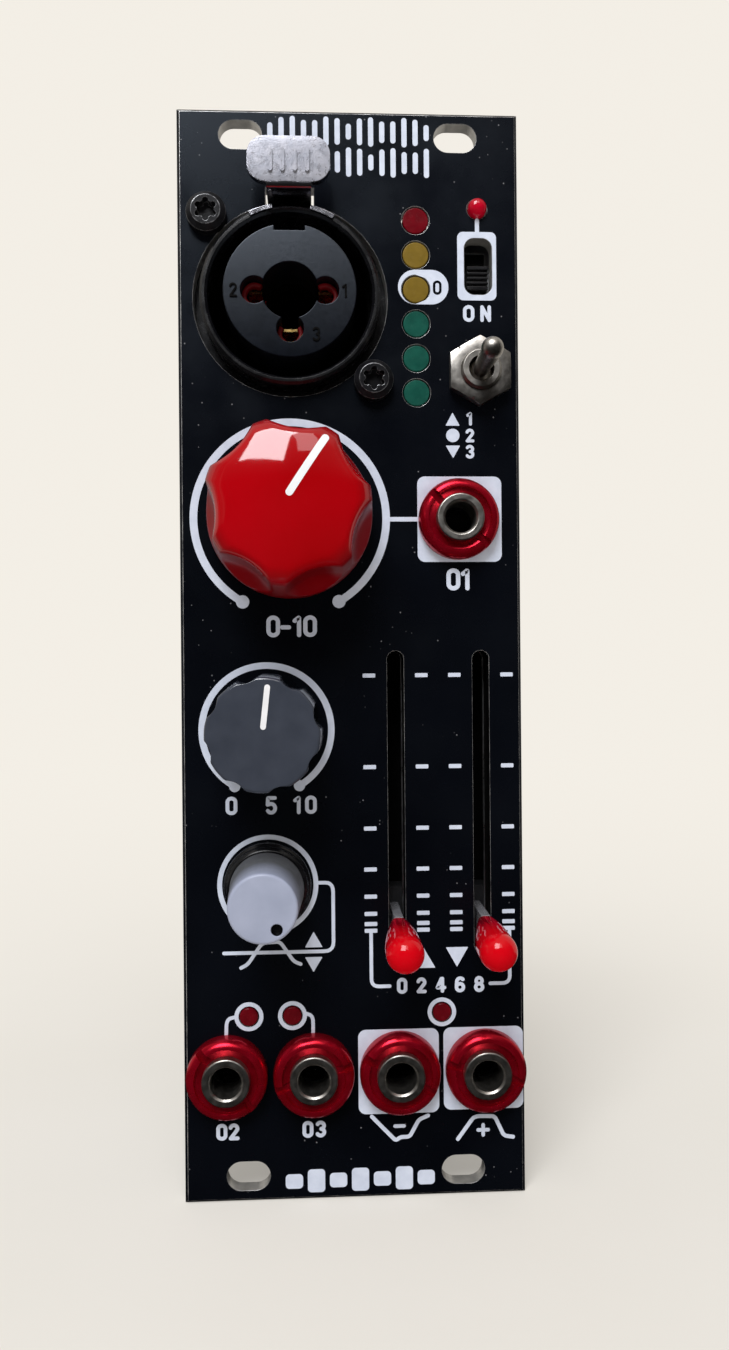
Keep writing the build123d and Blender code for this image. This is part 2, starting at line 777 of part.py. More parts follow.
def latch_lever():
    """Bent metal lever: push plate, neck through the panel, hook and pivot pins."""
    plate_height = tab_top_rise - tab_bottom_rise
    plate = block(combo_x, combo_z + (tab_top_rise + tab_bottom_rise) / 2, tab_width, plate_height,
                  proud(tab_height - tab_sheet), proud(tab_height), tab_corner)
    join_rise = tab_bottom_rise + tab_corner - neck_rise
    shoulder = block(combo_x, combo_z + neck_rise + join_rise / 2, neck_width, join_rise,
                     proud(tab_height - tab_sheet), proud(tab_height))
    neck = block(combo_x, combo_z + neck_rise + tab_sheet / 2, neck_width, tab_sheet, latch_rear,
                 proud(tab_height - tab_sheet / 2))
    hook = block(combo_x, combo_z + neck_rise - hook_drop / 2, neck_width - 2 * neck_bend, hook_drop,
                 latch_hook_depth + tab_sheet / 2, latch_hook_depth - tab_sheet / 2)
    pin_length = neck_width + 2 * (lever_clearance + pivot_lug_width)
    pins = Cylinder(latch_pivot_radius, pin_length)
    pins = Pos(combo_x, latch_pivot_depth, pivot_z()) * Rot(0, half_turn / 2, 0) * pins
    lever = plate + shoulder + neck + hook + pins
    bend = lever.edges().filter_by(Axis.X).group_by(Axis.Y)[0].sort_by(Axis.Z)[0]
    return fillet(bend, neck_bend)


def latch_spring():
    """Small tube spring under the lever's tail, in a pocket behind its pivot."""
    height = latch_spring_seat + lever_clearance - latch_spring_room
    ring = Cylinder(latch_spring_radius, height) - Cylinder(latch_spring_radius - latch_spring_wall, height)
    return latch_spring_place(height) * ring


def latch_spring_place(height):
    """Where something of this height stands on the floor of the spring's pocket."""
    floor = combo_z + neck_rise - lever_clearance - latch_spring_seat
    tail_y = latch_rear - latch_spring_radius
    return Pos(combo_x, tail_y, floor + height / 2)


def level_lamp(z):
    """Flat-topped lamp, flush with the panel, with a rim behind it."""
    rear = proud(-level_lamp_length)
    body = rod(level_lamp_x, z, level_lamp_radius, rear, front_y)
    return body + rod(level_lamp_x, z, level_lamp_rim_radius, rear, rear - lamp_rim_length)


def small_lamp(x, z, radius, height):
    """Round lamp whose domed end stands a height in front of the panel."""
    rear = proud(-small_lamp_length)
    body = rod(x, z, radius, rear, proud(height))
    end = body.faces().sort_by(Axis.Y)[0].edges()
    return fillet(end, min(height, radius) * small_lamp_round_share)



def lamp_leads():
    pieces = []
    places = [(level_lamp_x, z, level_lamp_length) for z in level_lamp_zs]
    places += [(phantom_lamp_x, phantom_lamp_z, small_lamp_length)]
    places += [(x, z, small_lamp_length) for x, z in status_lamp_places]
    for x, z, length in places:
        offset = lead_pitch / 2
        for side in (-1, 1):
            pieces.append(block(x + side * offset, z, lead_side, lead_side, control_y, proud(-length)))
    return group(pieces)


def slide_switch_frame():
    """Folded metal cover of the slide switch, open where its slider looks out."""
    rear = control_y - slide_base_depth
    frame = block(window_x, window_z, slide_frame_width, slide_frame_height, rear, slide_frame_depth)
    wall = 2 * slide_frame_wall
    frame -= block(window_x, window_z, slide_frame_width - wall, slide_frame_height - wall, rear + overrun,
                   slide_frame_depth + slide_frame_wall)
    opening_height = slider_height + slider_travel + 2 * lever_clearance
    return frame - block(window_x, window_z, slider_width + 2 * running_clearance, opening_height,
                         rear, slide_frame_depth - overrun)


def slide_switch_base():
    return block(window_x, window_z, slide_frame_width, slide_frame_height, control_y,
                 control_y - slide_base_depth)


def slide_switch_slider():
    """Ribbed slider and the carrier that runs inside the frame."""
    z = window_z - slider_travel / 2
    carrier_front = slide_frame_depth + slide_frame_wall + running_clearance
    carrier_rear = control_y - slide_base_depth - running_clearance
    carrier = block(window_x, z, slide_carrier_width, slide_carrier_height, carrier_rear, carrier_front)
    knob = block(window_x, z, slider_width, slider_height, carrier_front, proud(-slider_sunk))
    pitch = slider_height / slider_rib_count
    gap = pitch * slider_rib_share
    grooves = []
    for i in range(1, slider_rib_count):
        groove_z = z - slider_height / 2 + pitch * i
        grooves.append(block(window_x, groove_z, slider_width + overrun, gap,
                             proud(-slider_sunk - slider_rib_depth), proud(overrun)))
    return carrier + knob - grooves


def toggle_body():
    body = block(toggle_x, toggle_z, toggle_body_width, toggle_body_height, control_y, toggle_body_front)
    wall = 2 * toggle_body_wall
    body -= block(toggle_x, toggle_z, toggle_body_width - wall, toggle_body_height - wall,
                  control_y - toggle_body_wall, toggle_body_front + toggle_body_wall)
    return body - rod(toggle_x, toggle_z, toggle_bore_radius, toggle_body_front + wall,
                      toggle_body_front - overrun)


def toggle_bushing():
    """Threaded bushing whose turned-in lip holds the lever's ball."""
    total = toggle_body_front - proud(toggle_bushing_proud)
    points = [(toggle_bore_radius, 0), (toggle_bushing_radius, 0),
              (toggle_bushing_radius, total - toggle_lip / 2),
              (toggle_bushing_radius - toggle_lip / 2, total),
              (toggle_mouth_radius, total), (toggle_mouth_radius, total - toggle_lip),
              (toggle_bore_radius, total - toggle_lip)]
    return turned(points, toggle_x, toggle_z, toggle_body_front)


def toggle_hardware():
    """Front nut, lock washer behind it, and the nut between the panel and the body."""
    washer = tube(toggle_x, toggle_z, toggle_washer_radius, toggle_bushing_radius, front_y,
                  proud(toggle_washer_height))
    front = hex_nut(toggle_x, toggle_z, toggle_nut_flats, toggle_bushing_radius, proud(toggle_washer_height),
                    proud(toggle_washer_height + toggle_nut_height), toggle_nut_corner)
    rear = hex_nut(toggle_x, toggle_z, toggle_nut_flats, toggle_bushing_radius, toggle_body_front, 0,
                   toggle_nut_corner)
    return group([washer, front, rear])


def toggle_lever():
    """Bat lever: ball in the bushing, tapered neck, round end and the tail inside."""
    pivot_y = proud(toggle_pivot_proud)
    reach = toggle_reach - toggle_pivot_proud
    bat_centre = reach - toggle_bat_radius
    points = [(0, 0), (toggle_neck_radius, 0), (toggle_bat_radius, bat_centre), (0, bat_centre)]
    neck = turned(points, toggle_x, toggle_z, pivot_y)
    ball = Pos(toggle_x, pivot_y, toggle_z) * Sphere(toggle_ball_radius)
    end = Pos(toggle_x, pivot_y - bat_centre, toggle_z) * Sphere(toggle_bat_radius)
    tail = rod(toggle_x, toggle_z, toggle_tail_radius, toggle_tail_depth, pivot_y)
    return ball + neck + end + tail


def jack_body(x, z):
    """Moulded socket body, hollow behind its bore."""
    body = block(x, z, jack_body_width, jack_body_height, control_y, 0)
    wall = 2 * jack_body_wall
    body -= block(x, z, jack_body_width - wall, jack_body_height - wall, control_y - jack_body_wall,
                  jack_front_wall)
    return body - rod(x, z, jack_bore_radius, jack_front_wall + overrun, -overrun)


def jack_barrel(x, z):
    """Threaded barrel with a countersunk mouth."""
    reach = jack_barrel_proud + panel_thickness
    edge = jack_lead_in / 2
    points = [(jack_bore_radius, 0), (jack_barrel_radius, 0), (jack_barrel_radius, reach - edge),
              (jack_barrel_radius - edge, reach), (jack_bore_radius + jack_lead_in, reach),
              (jack_bore_radius, reach - jack_lead_in)]
    return turned(points, x, z, 0)


def jack_nut(x, z, turn):
    """Round dress nut with a stepped dish and two driver slots."""
    points = [(jack_nut_radius * r, jack_nut_height * h) for r, h in jack_nut_shares]
    points += [(jack_barrel_radius, jack_nut_height * jack_nut_dish_share), (jack_barrel_radius, 0)]
    nut = turned(points, x, z, front_y)
    slot = Rot(0, 0, turn) * Rectangle(2 * jack_nut_radius + overrun, jack_nut_slot_width)
    floor_y = proud(jack_nut_height - jack_nut_slot_depth)
    return nut - prism(slot, x, z, floor_y, proud(jack_nut_height + overrun))


def jack_spring(x, z):
    """Tip and sleeve springs, one each side of the plug's path."""
    pieces = []
    for side in (-1, 1):
        pieces.append(block(x, z + side * jack_spring_offset, jack_spring_width, jack_spring_thickness,
                            control_y - jack_body_wall, jack_front_wall))
    return pieces


def pot_case(x, z):
    """Metal cover, open at the rear where the track plate closes it."""
    case = block(x, z, pot_width, pot_height, control_y, pot_front)
    wall = 2 * pot_wall
    case -= block(x, z, pot_width - wall, pot_height - wall, control_y + overrun, pot_front + pot_wall)
    return case - rod(x, z, shaft_radius + running_clearance, pot_front + wall, pot_front - overrun)


def pot_bushing(x, z):
    bore = shaft_radius + running_clearance
    thread = tube(x, z, bushing_radius, bore, pot_front, proud(bushing_proud))
    return thread + tube(x, z, bushing_collar_radius, bore, pot_front, pot_front - bushing_collar_depth)


def pot_track(x, z):
    wall = 2 * pot_wall
    return block(x, z, pot_width - wall, pot_height - wall, control_y, control_y - track_depth)


def pot_hardware():
    pieces = []
    for x, z in pot_places[:2]:
        pieces.append(tube(x, z, washer_radius, bushing_radius, front_y, proud(washer_height)))
        pieces.append(hex_nut(x, z, nut_flats, bushing_radius, proud(washer_height),
                              proud(washer_height + nut_height), nut_corner))
    return group(pieces)


def polarity_nut():
    """Round black nut that shows round the foot of the polarity knob."""
    step = round_nut_groove
    points = [(bushing_radius, 0), (round_nut_radius, 0), (round_nut_radius, round_nut_height / 2),
              (round_nut_radius - step, round_nut_height / 2 + step),
              (round_nut_radius - step, round_nut_height - step),
              (round_nut_radius - 2 * step, round_nut_height), (bushing_radius, round_nut_height)]
    return turned(points, polarity_x, polarity_z, front_y)


def pot_shaft(x, z, turn, top):
    """Shaft with a flat for its knob, and the rotor and wiper on its inner end."""
    rotor_front = pot_front + pot_wall + running_clearance
    rotor_rear = rotor_front + rotor_depth
    shaft = rod(x, z, shaft_radius, rotor_rear, proud(top - shaft_flat_length))
    shaft += prism(shaft_outline(turn), x, z, rotor_rear, proud(top))
    shaft += rod(x, z, rotor_radius, rotor_rear, rotor_front)
    dx, dz = polar(rotor_radius - wiper_length / 2, turn)
    outline = Rot(0, 0, -turn) * Rectangle(wiper_width, wiper_length - running_clearance)
    return shaft + prism(outline, x + dx, z + dz, control_y - track_depth - running_clearance, rotor_rear)


def knob_bore(x, z, turn, recess_radius, recess_height, shaft_top):
    """Space in a knob for the nut or bushing and for the shaft's end."""
    recess = rod(x, z, recess_radius, 0, proud(recess_height))
    flat_from = shaft_top - shaft_flat_length
    round_part = rod(x, z, shaft_radius, 0, proud(max(recess_height, flat_from)))
    return recess + round_part + prism(shaft_outline(turn), x, z, 0, proud(shaft_top))


def gain_body():
    """The gain knob as a solid: turned, domed and fluted above a round skirt."""
    rise = gain_top_height - gain_base_rise
    skirt = gain_skirt_height
    drop = gain_dome_radius - (gain_dome_radius**2 - gain_shoulder_radius**2) ** 0.5
    rim = (gain_shoulder_radius, rise - drop)
    dome = ThreePointArc((0, rise), (gain_shoulder_radius / 2, rise - drop / 4), rim)
    wall = Polyline(rim, (gain_radius, skirt), (gain_radius, 0), (0, 0), (0, rise))
    profile = make_face([dome, wall])
    shoulder = profile.vertices().sort_by(Axis.Y)[-2]
    profile = fillet(shoulder, gain_shoulder_fillet)
    side = Plane(origin=(gain_x, proud(gain_base_rise), gain_z), x_dir=(1, 0, 0), z_dir=(0, 0, -1))
    body = revolve(side * profile, axis=Axis(side.origin, (0, -1, 0)))
    low = proud(gain_base_rise + skirt + gain_flute_radius)
    cutters = []
    for i in range(gain_flute_count):
        turn = gain_turn + (i + 1 / 2) * full_turn / gain_flute_count
        dx, dz = polar(gain_flute_reach, turn)
        cutters.append(rod(gain_x + dx, gain_z + dz, gain_flute_radius, low,
                           proud(gain_top_height + overrun)))
        cutters.append(Pos(gain_x + dx, low, gain_z + dz) * Sphere(gain_flute_radius))
    return body - cutters


def gain_inlay():
    """Region of the gain knob's pointer, from its centre out to the shoulder."""
    start = gain_pointer_width / 2
    length = gain_pointer_length + start
    outline = Pos(0, length / 2 - start) * Rectangle(gain_pointer_width, length)
    return prism(Rot(0, 0, -gain_turn) * outline, gain_x, gain_z, proud(gain_pointer_floor),
                 proud(gain_top_height + overrun))


def gain_knob():
    bore = knob_bore(gain_x, gain_z, gain_turn, knob_recess_radius, knob_recess_height, gain_shaft_height)
    return gain_body() - bore - gain_inlay()


def gain_pointer():
    return gain_body() & gain_inlay()


def taper(x, z, base_radius, top_radius, base_rise, top_height, top_fillet):
    """Tapered round knob with a rounded top edge."""
    rise = top_height - base_rise
    body = turned([(0, 0), (base_radius, 0), (top_radius, rise), (0, rise)], x, z, proud(base_rise))
    return fillet(body.faces().sort_by(Axis.Y)[0].edges(), top_fillet)


def envelope_body():
    body = taper(envelope_x, envelope_z, envelope_radius, envelope_top_radius, envelope_base_rise,
                 envelope_top_height, envelope_top_fillet)
    cutters = []
    for i in range(envelope_scallop_count):
        turn = envelope_turn + (i + 1 / 2) * full_turn / envelope_scallop_count
        dx, dz = polar(envelope_scallop_reach, turn)
        cutters.append(rod(envelope_x + dx, envelope_z + dz, envelope_scallop_radius, front_y,
                           proud(envelope_top_height + overrun)))
    return body - cutters


def envelope_inlay():
    length = envelope_pointer_end - envelope_pointer_start
    outline = Pos(0, envelope_pointer_start + length / 2) * Rectangle(envelope_pointer_width, length)
    return prism(Rot(0, 0, -envelope_turn) * outline, envelope_x, envelope_z,
                 proud(envelope_top_height - envelope_pointer_depth), proud(envelope_top_height + overrun))


def envelope_knob():
    bore = knob_bore(envelope_x, envelope_z, envelope_turn, knob_recess_radius, knob_recess_height,
                     envelope_shaft_height)
    return envelope_body() - bore - envelope_inlay()


def envelope_pointer():
    return envelope_body() & envelope_inlay()


def polarity_knob():
    body = taper(polarity_x, polarity_z, polarity_radius, polarity_top_radius, polarity_base_rise,
                 polarity_top_height, polarity_top_fillet)
    dx, dz = polar(polarity_dot_reach, polarity_turn)
    dot = rod(polarity_x + dx, polarity_z + dz, polarity_dot_radius,
              proud(polarity_top_height - polarity_dot_depth), proud(polarity_top_height + overrun))
    bore = knob_bore(polarity_x, polarity_z, polarity_turn, shaft_recess_radius, knob_recess_height,
                     polarity_shaft_height)
    return body - bore - dot


def fader_slot_outline():
    """Upright slot that clears the fader lever over its travel."""
    length = fader_travel + fader_lever_width + 2 * fader_slot_margin
    return Rot(0, 0, half_turn / 2) * SlotOverall(length, fader_slot_width)


def fader_case(x):
    case = block(x, fader_mid_z, fader_case_width, fader_case_length, control_y, fader_case_front)
    wall = 2 * fader_case_wall
    case -= block(x, fader_mid_z, fader_case_width - wall, fader_case_length - wall, control_y + overrun,
                  fader_case_front + fader_case_wall)
    return case - prism(fader_slot_outline(), x, fader_mid_z, fader_case_front + wall,
                        fader_case_front - overrun)


def fader_track(x):
    wall = 2 * fader_case_wall
    return block(x, fader_mid_z, fader_case_width - wall, fader_case_length - wall, control_y,
                 control_y - fader_track_depth)


def fader_carriage(x):
    """Slide inside the case, with two wiper strips that reach the track."""
    front = fader_case_front + fader_case_wall + running_clearance
    width = fader_case_width - 2 * (fader_case_wall + running_clearance)
    carriage = block(x, fader_low_z, width, fader_carriage_length, front + fader_carriage_depth, front)
    carriage -= block(x, fader_low_z, fader_lever_thickness, fader_lever_width,
                      front + fader_carriage_depth / 2, front - overrun)
    for side in (-1, 1):
        carriage += block(x + side * width / 4, fader_low_z, fader_wiper_width, fader_carriage_length / 2,
                          control_y - fader_track_depth - running_clearance, front + fader_carriage_depth)
    return carriage


def fader_lever(x):
    """Clear flat lever with a narrower tongue for its cap."""
    foot = fader_case_front + fader_case_wall + running_clearance + fader_carriage_depth / 2
    tip = proud(fader_tongue_reach)
    stem = block(x, fader_low_z, fader_lever_thickness, fader_lever_width, foot, proud(fader_lever_shoulder))
    return stem + block(x, fader_low_z, fader_lever_thickness, fader_tongue_width, foot, tip)


def fader_cap(x):
    """Pear-shaped cap: flat oval neck that swells to a round head."""
    ovals = []
    for along, half_width, half_depth in cap_shares:
        level = facing(x, fader_low_z, proud(cap_foot_height + along * cap_length))
        ovals.append(level * Ellipse(half_width * cap_radius, half_depth * cap_radius))
    body = loft(ovals)
    head_y = proud(cap_foot_height + cap_length)
    head = Pos(x, head_y, fader_low_z) * Sphere(cap_radius)
    head &= rod(x, fader_low_z, 2 * cap_radius, head_y, head_y - 2 * cap_radius)
    socket = block(x, fader_low_z, fader_lever_thickness, fader_tongue_width, proud(0),
                   proud(fader_tongue_reach))
    return body + head - socket


def control_terminals():
    """Terminals of the pots, toggle and slide switch, from their bodies to the control board."""
    pieces = []
    for x, z in pot_places:
        for i in (-1, 0, 1):
            pieces.append(block(x + i * link_pitch, z - pot_height / 2 - terminal_side / 2, terminal_side,
                                terminal_side, control_y, control_y - terminal_gap))
    for side in (-1, 1):
        for i in (-1, 0, 1):
            pieces.append(block(toggle_x + side * (toggle_body_width + terminal_side) / 2,
                                toggle_z + i * link_pitch, terminal_side, terminal_side, control_y,
                                control_y - terminal_gap))
    for x in fader_xs:
        for side in (-1, 1):
            z = fader_mid_z + side * (fader_case_length + terminal_side) / 2
            pieces.append(block(x, z, terminal_side, terminal_side, control_y, control_y - terminal_gap))
    return group(pieces)


def control_board():
    """Front board, cut away beside the combined socket."""
    board = prism(board_outline(), 0, 0, control_rear_y, control_y)
    cut_right = combo_x + housing_width / 2 + lever_clearance
    cut_bottom = combo_z - housing_height / 2 - lever_clearance
    width = cut_right + board_width / 2 + overrun
    height = board_height / 2 + overrun - cut_bottom
    board -= block(cut_right - width / 2, cut_bottom + height / 2, width, height, control_rear_y + overrun,
                   control_y - overrun)
    for x, z in pillar_places:
        board -= rod(x, z, pillar_bore_radius, control_rear_y + overrun, control_y - overrun)
    return board


def main_board():
    board = prism(board_outline(), 0, 0, main_rear_y, main_y)
    for x, z in pillar_places:
        board -= rod(x, z, pillar_bore_radius, main_rear_y + overrun, main_y - overrun)
    return board


def link_pin_places():
    """Pins of the two headers between the boards, one header near each side."""
    places = []
    for side in (-1, 1):
        for i in range(link_count):
            places.append((side * link_x, link_z + (i - (link_count - 1) / 2) * link_pitch))
    return places


def link_strip(y_rear, y_front):
    """The two moulded strips of the headers, between two depths, with their pin holes."""
    strips = [block(side * link_x, link_z, link_width, link_count * link_pitch, y_rear, y_front)
              for side in (-1, 1)]
    holes = []
    for x, z in link_pin_places():
        holes.append(block(x, z, pin_side, pin_side, y_rear + overrun, y_front - overrun))
    return group([strip - holes for strip in strips])


def header_pins():
    pieces = []
    link_tip = control_rear_y + link_base_height + pin_reach
    for x, z in link_pin_places():
        pieces.append(block(x, z, pin_side, pin_side, link_tip, control_rear_y))
    for i in range(power_pin_count):
        for side in (-1, 1):
            x = (i - (power_pin_count - 1) / 2) * link_pitch
            z = shroud_z + side * link_pitch / 2
            pieces.append(block(x, z, pin_side, pin_side, main_rear_y + power_pin_reach, main_rear_y))
    return group(pieces)


def power_shroud():
    """Boxed header with a keyed wall, its floor pierced by the pins."""
    rear = main_rear_y + shroud_height
    shroud = block(0, shroud_z, shroud_length, shroud_width, rear, main_rear_y)
    wall = 2 * shroud_wall
    shroud -= block(0, shroud_z, shroud_length - wall, shroud_width - wall, rear + overrun,
                    main_rear_y + shroud_floor)
    shroud -= block(0, shroud_z - shroud_width / 2, shroud_key_width, wall + running_clearance,
                    rear + overrun, main_rear_y + shroud_floor)
    for i in range(power_pin_count):
        for side in (-1, 1):
            x = (i - (power_pin_count - 1) / 2) * link_pitch
            z = shroud_z + side * link_pitch / 2
            shroud -= block(x, z, pin_side, pin_side, rear, main_rear_y - overrun)
    return shroud


def board_pillars():
    pieces = []
    for x, z in pillar_places:
        pieces.append(prism(hexagon(pillar_flats) - Circle(pillar_bore_radius), x, z, main_y, control_rear_y))
    return group(pieces)


def pillar_screws():
    """Slotted screws into both ends of each pillar."""
    pieces = []
    for x, z in pillar_places:
        for seat, away in ((control_y, -1), (main_rear_y, 1)):
            head_end = seat + away * pillar_screw_head_height
            tip = seat - away * pillar_screw_length
            head = rod(x, z, pillar_screw_head_radius, max(seat, head_end), min(seat, head_end))
            slot_floor = head_end - away * driver_slot_depth
            beyond = head_end + away * overrun
            head -= block(x, z, 2 * pillar_screw_head_radius + overrun, driver_slot_width,
                          max(slot_floor, beyond), min(slot_floor, beyond))
            pieces.append(head + rod(x, z, pillar_bore_radius, max(seat, tip), min(seat, tip)))
    return group(pieces)


def on_board(shares):
    """Place on the main board from shares of its half width and half height."""
    return shares[0] * board_width / 2, shares[1] * board_height / 2


def circuit_packages():
    """Amplifier packages, and the black bases of the capacitor cans."""
    pieces = []
    for x, z in map(on_board, package_shares):
        pieces.append(block(x, z, package_width, package_height,
                            main_rear_y + package_stand + package_thickness, main_rear_y + package_stand))
    for x, z in map(on_board, can_shares):
        pieces.append(block(x, z, can_base_side, can_base_side, main_rear_y + can_base, main_rear_y))
    return group(pieces)


def circuit_leads():
    pieces = []
    for x, z in map(on_board, package_shares):
        for side in (-1, 1):
            lead_x = x + side * (package_width + package_lead_length) / 2
            for i in range(package_lead_count):
                lead_z = z + (i - (package_lead_count - 1) / 2) * package_lead_pitch
                foot = block(lead_x, lead_z, package_lead_length, package_lead_width,
                             main_rear_y + package_lead_thickness, main_rear_y)
                knee_x = x + side * (package_width + package_lead_thickness) / 2
                knee = block(knee_x, lead_z, package_lead_thickness, package_lead_width,
                             main_rear_y + package_stand + package_thickness / 2, main_rear_y)
                pieces.append(foot + knee)
    return group(pieces)


def capacitor_cans():
    pieces = []
    height = can_height
    for x, z in map(on_board, can_shares):
        seat = main_rear_y + can_base
        points = [(0, 0), (can_radius, 0), (can_radius, -height + can_fillet),
                  (can_radius - can_fillet, -height), (0, -height)]
        can = turned(points, x, z, seat)
        groove_y = seat + can_groove_height
        can -= tube(x, z, can_radius + overrun, can_radius - can_groove, groove_y + can_groove, groove_y)
        pieces.append(can)
    return group(pieces)


def chip_parts():
    """Small chip parts in rows on the rear of the main board."""
    pieces = []
    places = [(x, z) for x in chip_column_shares for z in chip_row_shares]
    places = [on_board(place) for place in places]
    first_row = shroud_width / 2 + chip_shroud_gap
    for x_share in chip_low_column_shares:
        for offset in (first_row, first_row + chip_shroud_pitch):
            for side in (-1, 1):
                places.append((x_share * board_width / 2, shroud_z + side * offset))
    for x, z in places:
        pieces.append(block(x, z, chip_length, chip_width, main_rear_y + chip_thickness, main_rear_y))
    return group(pieces)


status_lamps = [small_lamp(x, z, status_lamp_radius, status_lamp_proud) for x, z in status_lamp_places]
phantom_lamp = small_lamp(phantom_lamp_x, phantom_lamp_z, phantom_lamp_radius, phantom_lamp_proud)
nodes = {
    "front_panel": front_panel(),
    "combo_bezel": combo_bezel(),
    "combo_clip": combo_clip(),
    "combo_insert": combo_insert(),
    "combo_carrier": combo_carrier(),
    "combo_contacts": combo_contacts(),
    "combo_jack_springs": combo_jack_springs(),
    "combo_housing": combo_housing(),
    "combo_screws": combo_screws(),
    "latch_lever": latch_lever(),
    "latch_spring": latch_spring(),
    "lamps_red": group([level_lamp(z) for z in level_lamp_zs[:red_level_lamps]]
                       + [phantom_lamp] + status_lamps),
    "lamps_yellow": group([level_lamp(z) for z in level_lamp_zs[red_level_lamps:warm_level_lamps]]),
    "lamps_green": group([level_lamp(z) for z in level_lamp_zs[warm_level_lamps:]]),
    "lamp_leads": lamp_leads(),
    "slide_switch_frame": slide_switch_frame(),
    "slide_switch_base": slide_switch_base(),
    "slide_switch_slider": slide_switch_slider(),
    "toggle_body": toggle_body(),
    "toggle_bushing": toggle_bushing(),
    "toggle_hardware": toggle_hardware(),
    "toggle_lever": toggle_lever(),
    "jack_bodies": group([jack_body(x, z) for x, z in jack_places]),
    "jack_barrels": group([jack_barrel(x, z) for x, z in jack_places]),
    "jack_nuts": group([jack_nut(x, z, turn) for (x, z), turn in zip(jack_places, jack_nut_turns)]),
    "jack_springs": group([piece for x, z in jack_places for piece in jack_spring(x, z)]),
    "pot_cases": group([pot_case(x, z) for x, z in pot_places]),
    "pot_bushings": group([pot_bushing(x, z) for x, z in pot_places]),
    "pot_tracks": group([pot_track(x, z) for x, z in pot_places]),
    "pot_hardware": pot_hardware(),
    "polarity_nut": polarity_nut(),
    "gain_shaft": pot_shaft(gain_x, gain_z, gain_turn, gain_shaft_height),
    "gain_knob": gain_knob(),
    "gain_pointer": gain_pointer(),
    "envelope_shaft": pot_shaft(envelope_x, envelope_z, envelope_turn, envelope_shaft_height),
    "envelope_knob": envelope_knob(),
    "envelope_pointer": envelope_pointer(),
    "polarity_shaft": pot_shaft(polarity_x, polarity_z, polarity_turn, polarity_shaft_height),
    "polarity_knob": polarity_knob(),
    "fader_cases": group([fader_case(x) for x in fader_xs]),
    "fader_tracks": group([fader_track(x) for x in fader_xs]),
    "control_terminals": control_terminals(),
    "control_board": control_board(),
    "main_board": main_board(),
    "link_headers": link_strip(control_rear_y + link_base_height, control_rear_y),
    "link_sockets": link_strip(main_y, control_rear_y + link_base_height),
    "header_pins": header_pins(),
    "power_shroud": power_shroud(),
    "board_pillars": board_pillars(),
    "pillar_screws": pillar_screws(),
    "circuit_packages": circuit_packages(),
    "circuit_leads": circuit_leads(),
    "capacitor_cans": capacitor_cans(),
    "chip_parts": chip_parts(),
}
for label, x in zip(("rise", "fall"), fader_xs):
    nodes[f"{label}_carriage"] = fader_carriage(x)
    nodes[f"{label}_lever"] = fader_lever(x)
    nodes[f"{label}_cap"] = fader_cap(x)

os.makedirs("parts", exist_ok=True)
for name, shape in nodes.items():
    export_step(shape, f"parts/{name}.step")
print(len(nodes), "nodes written")
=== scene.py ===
# %% [markdown]
# A sound module for a rack is a black metal panel with its controls bolted through it and two circuit
# boards standing behind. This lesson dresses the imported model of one. The model gives every place and
# size, so the first step only loads it and keeps its box, to compare with the finished look.

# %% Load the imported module
import bmesh
import bpy
import numpy as np
from math import cos, pi, radians, sin
from mathutils import Matrix, Vector


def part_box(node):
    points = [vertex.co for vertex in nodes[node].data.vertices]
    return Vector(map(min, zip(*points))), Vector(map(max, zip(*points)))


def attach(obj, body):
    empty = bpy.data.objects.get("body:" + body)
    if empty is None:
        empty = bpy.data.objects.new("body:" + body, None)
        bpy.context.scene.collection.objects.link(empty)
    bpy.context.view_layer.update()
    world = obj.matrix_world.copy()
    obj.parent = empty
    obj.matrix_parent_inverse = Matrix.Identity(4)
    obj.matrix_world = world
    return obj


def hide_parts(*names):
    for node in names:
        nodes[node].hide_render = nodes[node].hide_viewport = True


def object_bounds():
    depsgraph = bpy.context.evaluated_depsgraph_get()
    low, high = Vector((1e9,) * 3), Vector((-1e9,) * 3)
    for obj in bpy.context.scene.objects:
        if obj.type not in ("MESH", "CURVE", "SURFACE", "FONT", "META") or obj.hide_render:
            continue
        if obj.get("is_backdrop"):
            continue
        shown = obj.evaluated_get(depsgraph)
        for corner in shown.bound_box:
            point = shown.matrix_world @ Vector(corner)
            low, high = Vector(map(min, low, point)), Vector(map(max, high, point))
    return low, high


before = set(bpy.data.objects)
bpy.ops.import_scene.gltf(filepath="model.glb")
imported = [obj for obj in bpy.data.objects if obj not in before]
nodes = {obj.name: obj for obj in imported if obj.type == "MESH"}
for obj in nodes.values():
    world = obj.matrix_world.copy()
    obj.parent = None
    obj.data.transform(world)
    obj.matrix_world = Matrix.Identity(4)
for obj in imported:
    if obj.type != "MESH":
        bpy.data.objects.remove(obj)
cad_low, cad_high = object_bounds()
print("module from", tuple(cad_low), "to", tuple(cad_high))

# %% [markdown]
# The real things are small, so lengths below are written in millimetres, as a maker would, and are
# turned to metres once, where a mesh is made. Heights are counted from the panel's front face towards
# the user, which is -Y here.

# %% Millimetres and places
mm = 0.001
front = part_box("front_panel")[0].y / mm


def sides(node):
    """Left, right, foot and head of a node, in millimetres."""
    low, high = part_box(node)
    return low.x / mm, high.x / mm, low.z / mm, high.z / mm


def middle(node):
    """Centre of a node in x and z."""
    left, right, foot, head = sides(node)
    return (left + right) / 2, (foot + head) / 2


def heights(node):
    """Lowest and highest height of a node before the panel's front face."""
    low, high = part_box(node)
    return front - high.y / mm, front - low.y / mm


print("panel is", round(-front, 2), "mm thick")

